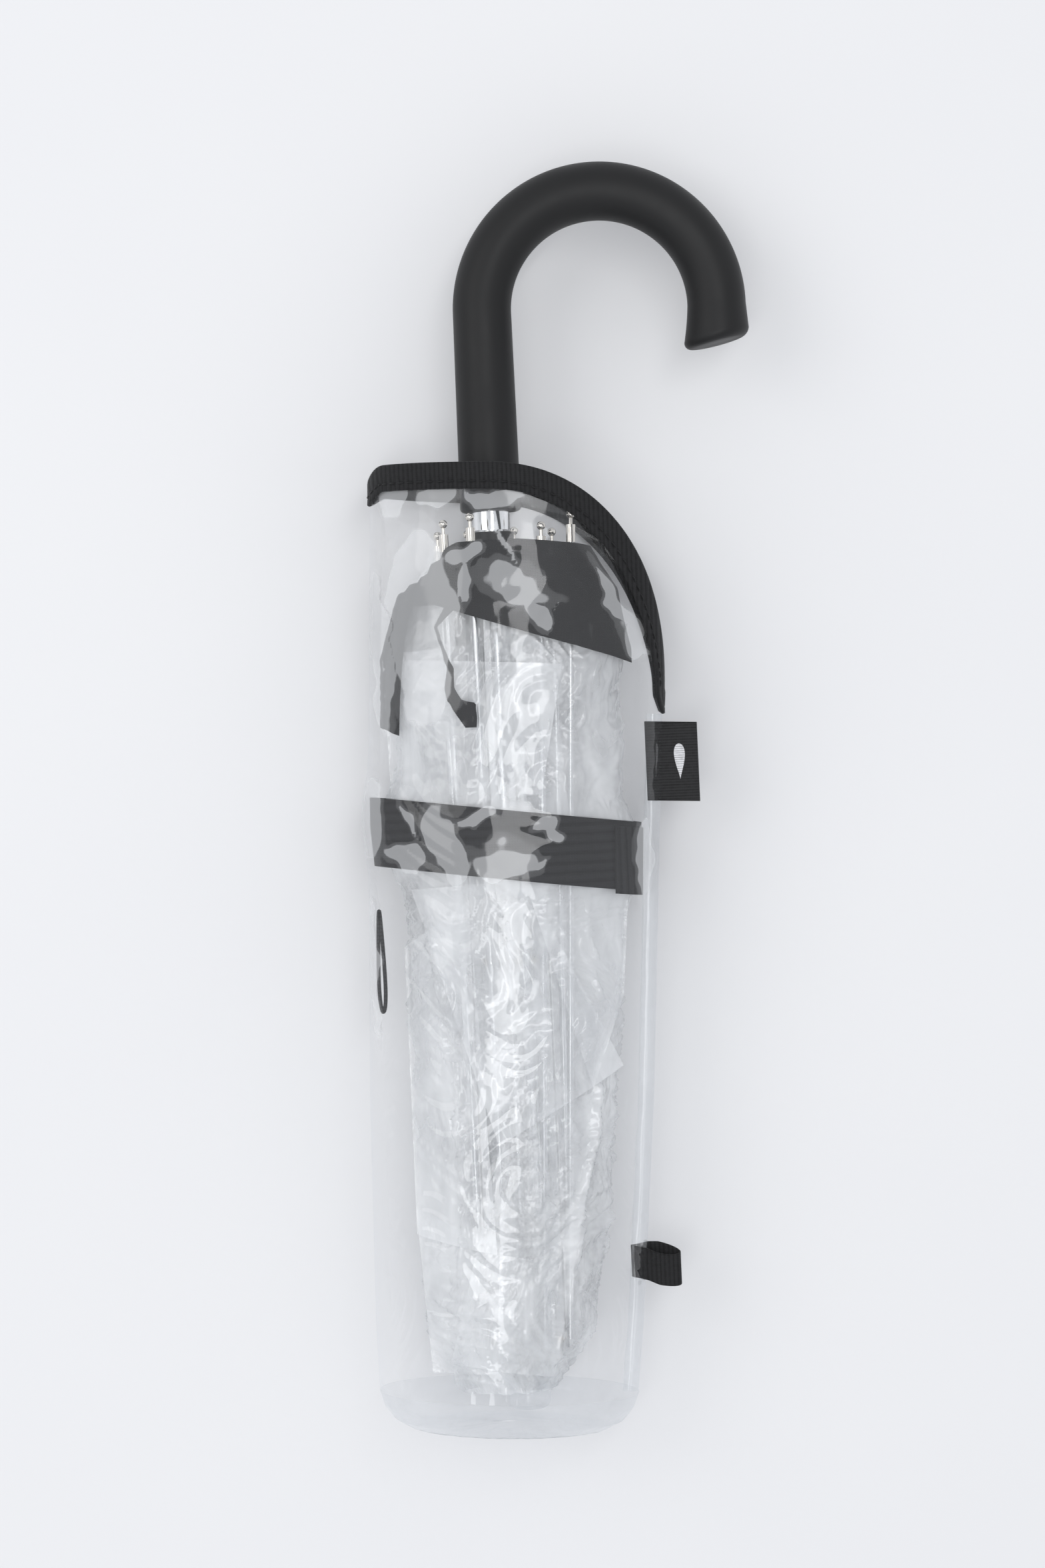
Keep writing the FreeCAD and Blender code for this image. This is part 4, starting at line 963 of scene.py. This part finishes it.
def make_hem(cloth):
    """The black hem: cloth over the first stretch of the folded canopy, front and back."""
    around, along = 340, 90
    rows = []
    for i in range(along):
        share = i / (along - 1)
        row = []
        for j in range(around):
            angle = 2 * math.pi * j / around
            x = canopy_point(angle, -55.0)[0]
            top, bottom = edge_at(HEM_TOP, x), edge_at(HEM_BOTTOM, x)
            if math.sin(angle) < 0:
                bottom = HEM_BACK + 0.1 * x
            y = top + share * (bottom - top)
            step = 0.35 * (max(0.0, -20 - x) / 3.8 % 1.0)
            depth = 0.25 + 0.7 * folds(x, y, 9.0, 8.0, 2.0) + 0.5 * facets(x, y, 12.0, 6.0) + step
            row.append(canopy_point(angle, y, -depth))
        rows.append(row)
    outer = grid_piece("canopy_hem_band", rows, wrap_columns=True)
    thicken(outer, 0.3)
    dress(outer, cloth, "hem_fabric", "umbrella", "canopy_hem")

    rows = []
    for y in np.linspace(LOOSE_FOLD[0][0], LOOSE_FOLD[-1][0], 60):
        down = [-p[0] for p in LOOSE_FOLD]
        left, right = (float(np.interp(-y, down, [p[k] for p in LOOSE_FOLD])) for k in (1, 2))
        ripple = 0.3 * soft_noise(y / 3, 1.0, 9.0)
        rows.append([(x + ripple, y, 23.0 - 0.02 * abs(x)) for x in np.linspace(left, right, 8)])
    tail = thicken(grid_piece("hem_loose_fold", rows), 0.3)
    dress(tail, cloth, "hem_fabric", "umbrella")
    return [outer, tail]


# ---- Closing strap and its loop -----------------------------------------------------------------------------
def strap_ring(half_width, proud, steps, start=0.0, sweep=2 * math.pi, shift=0.0):
    """Rows of points across the strap, round the bundle."""
    rows = []
    for k in range(steps):
        angle = start + sweep * k / (steps - 1)
        x = canopy_point(angle, STRAP_MIDDLE)[0]
        middle = strap_middle(x) + shift
        out = proud + 1.9 * left_bulge(angle, STRAP_BULGE_Y)
        rows.append([canopy_point(angle, middle + u, out) for u in np.linspace(-half_width, half_width, 30)])
    return rows


def make_strap(cloth, patch_cloth):
    """Ribbed webbing drawn round the bundle, with its overlapped end on the right."""
    half = STRAP_WIDTH / 2
    band = grid_piece("closing_strap_band", strap_ring(half, 0.45, 300))
    thicken(band, 0.8)
    dress(band, cloth, "strap_webbing", "umbrella", "closing_strap")
    end = grid_piece("strap_overlap", strap_ring(half * 0.98, 1.15, 60, math.radians(-34), math.radians(72), -1.6))
    thicken(end, 0.6)
    dress(end, patch_cloth, "hook_patch", "umbrella", "strap_patch")


def make_strap_loop(cloth):
    """A narrow elastic tape doubled into a long loop beside the bundle's left edge."""
    low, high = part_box("strap_loop")
    centre = (low + high) / 2
    length, reach = (high.y - low.y) / 2, (high.x - low.x) / 2
    line, steps = [], 120
    for k in range(steps):
        turn = 2 * math.pi * k / steps
        bulb = 0.34 + 0.66 * ((1 - math.cos(turn)) / 2) ** 1.5
        x = centre.x + (reach - 0.0006) * math.sin(turn) * bulb
        y = centre.y + (length - 0.0006) * math.cos(turn)
        line.append((x, y, centre.z))
    line = np.array(line)
    rows = []
    for k in range(steps):
        tangent = line[(k + 1) % steps] - line[k - 1]
        tangent /= np.linalg.norm(tangent)
        out = np.array([tangent[1], -tangent[0], 0])
        section = [(0.0005, -0.002), (0.00062, 0.0), (0.0005, 0.002),
                   (-0.0005, 0.002), (-0.00062, 0.0), (-0.0005, -0.002)]
        rows.append([line[k] + out * a + np.array([0, 0, b]) for a, b in section])
    rows = np.array(rows)
    faces = grid_faces(steps, 6, wrap_rows=True, wrap_columns=True)
    piece = mesh_piece("strap_tie_loop", rows.reshape(-1, 3), faces)
    dress(piece, cloth, "elastic_tape", "umbrella", "strap_loop")


# ---- CAD nodes that stay ------------------------------------------------------------------------------------
def dress_nodes():
    """Every CAD node that still shows gets its own material."""
    chrome = metal_material("ferrule_chrome", (0.86, 0.87, 0.88), 0.05)
    steel = metal_material("shaft_plating", (0.78, 0.79, 0.8), 0.12)
    spring = metal_material("spring_leaf_steel", (0.5, 0.5, 0.51), 0.25)
    aluminium = metal_material("rib_aluminium", (0.86, 0.87, 0.88), 0.3)
    wire = metal_material("rib_wire_steel", (0.8, 0.81, 0.82), 0.2)
    nickel = metal_material("tip_nickel", (0.74, 0.71, 0.66), 0.13, (0.6, 0.6, 0.6))
    black = plastic_material("moulded_black", (0.014, 0.014, 0.015), 0.38, 0.4, 0.2)
    clear = film_material("clear_moulded", (0.97, 0.975, 0.98), (0.1, 0.2), (6.0, 6.0, 6.0), 0.15, 0.2)
    groups = {
        "handle_ferrule": chrome, "shaft_": steel, "handle_pin": spring, "top_catch": spring,
        "middle_catch": spring, "inner_catch": spring, "inner_rib": aluminium, "middle_rib": aluminium,
        "stretcher": aluminium, "outer_rib": wire, "rib_rivets": nickel, "rib_tips": nickel, "runner_ring": wire,
        "notch_ring": wire, "runner": black, "top_notch": clear, "top_cap": clear,
    }
    for name, node in NODES.items():
        found = [material for start, material in groups.items() if name.startswith(start)]
        if not found or node.hide_render:
            continue
        node.data.materials.clear()
        node.data.materials.append(found[0])


def main():
    make_camera()
    make_stage()
    # the last ramp of the sleeve's film paints its sheen patches as white milk
    sleeve_film = film_material(
        "sleeve_film_clear", (0.996, 0.997, 0.998), (0.004, 0.015), (40.0, 70.0, 40.0),
        sheen_patch_stops=((0.42, 0.01), (0.44, 0.06), (0.52, 0.07), (0.54, 0.31)))
    canopy_film = film_material(
        "canopy_film_clear", (0.99, 0.993, 0.996), (0.2, 0.52), (16.0, 40.0, 16.0), 0.09, 0.5)
    base_film = film_material(
        "sleeve_base_clear", (0.95, 0.957, 0.964), (0.05, 0.14), (15.0, 15.0, 15.0), 0.12, 0.8)
    hem_cloth = fabric_material("hem_taffeta", (0.011, 0.011, 0.012), 0.25, 0.7)
    strap_cloth = fabric_material("strap_ribbed_webbing", (0.01, 0.01, 0.011), 0.4, 0.8, ("Y", 1.5))
    hook_cloth = fabric_material("hook_tape", (0.013, 0.013, 0.014), 0.5, 0.9, ("X", 1.1))
    binding_cloth = fabric_material("binding_tape_weave", (0.0095, 0.0095, 0.01), 0.3, 0.75, ("X", 0.7))
    label_cloth = fabric_material("label_satin_weave", (0.014, 0.014, 0.0145), 0.3, 0.7, ("Y", 0.45))
    white_thread = fabric_material("label_white_thread", (0.42, 0.42, 0.43), 0.25, 0.6, ("Y", 0.35))
    black_thread = fabric_material("black_thread", (0.012, 0.012, 0.0125), 0.15, 0.45)
    elastic = fabric_material("black_elastic", (0.016, 0.016, 0.017), 0.3, 0.75, ("Y", 0.6))

    make_handle()
    make_canopy(canopy_film, make_hem(hem_cloth))
    make_strap(strap_cloth, hook_cloth)
    make_strap_loop(elastic)
    make_sleeve_film(sleeve_film)
    make_sleeve_base(base_film)
    make_binding(binding_cloth, black_thread)
    make_seam(base_film)
    make_label(label_cloth, white_thread)
    make_hang_loop(binding_cloth)
    dress_nodes()


main()
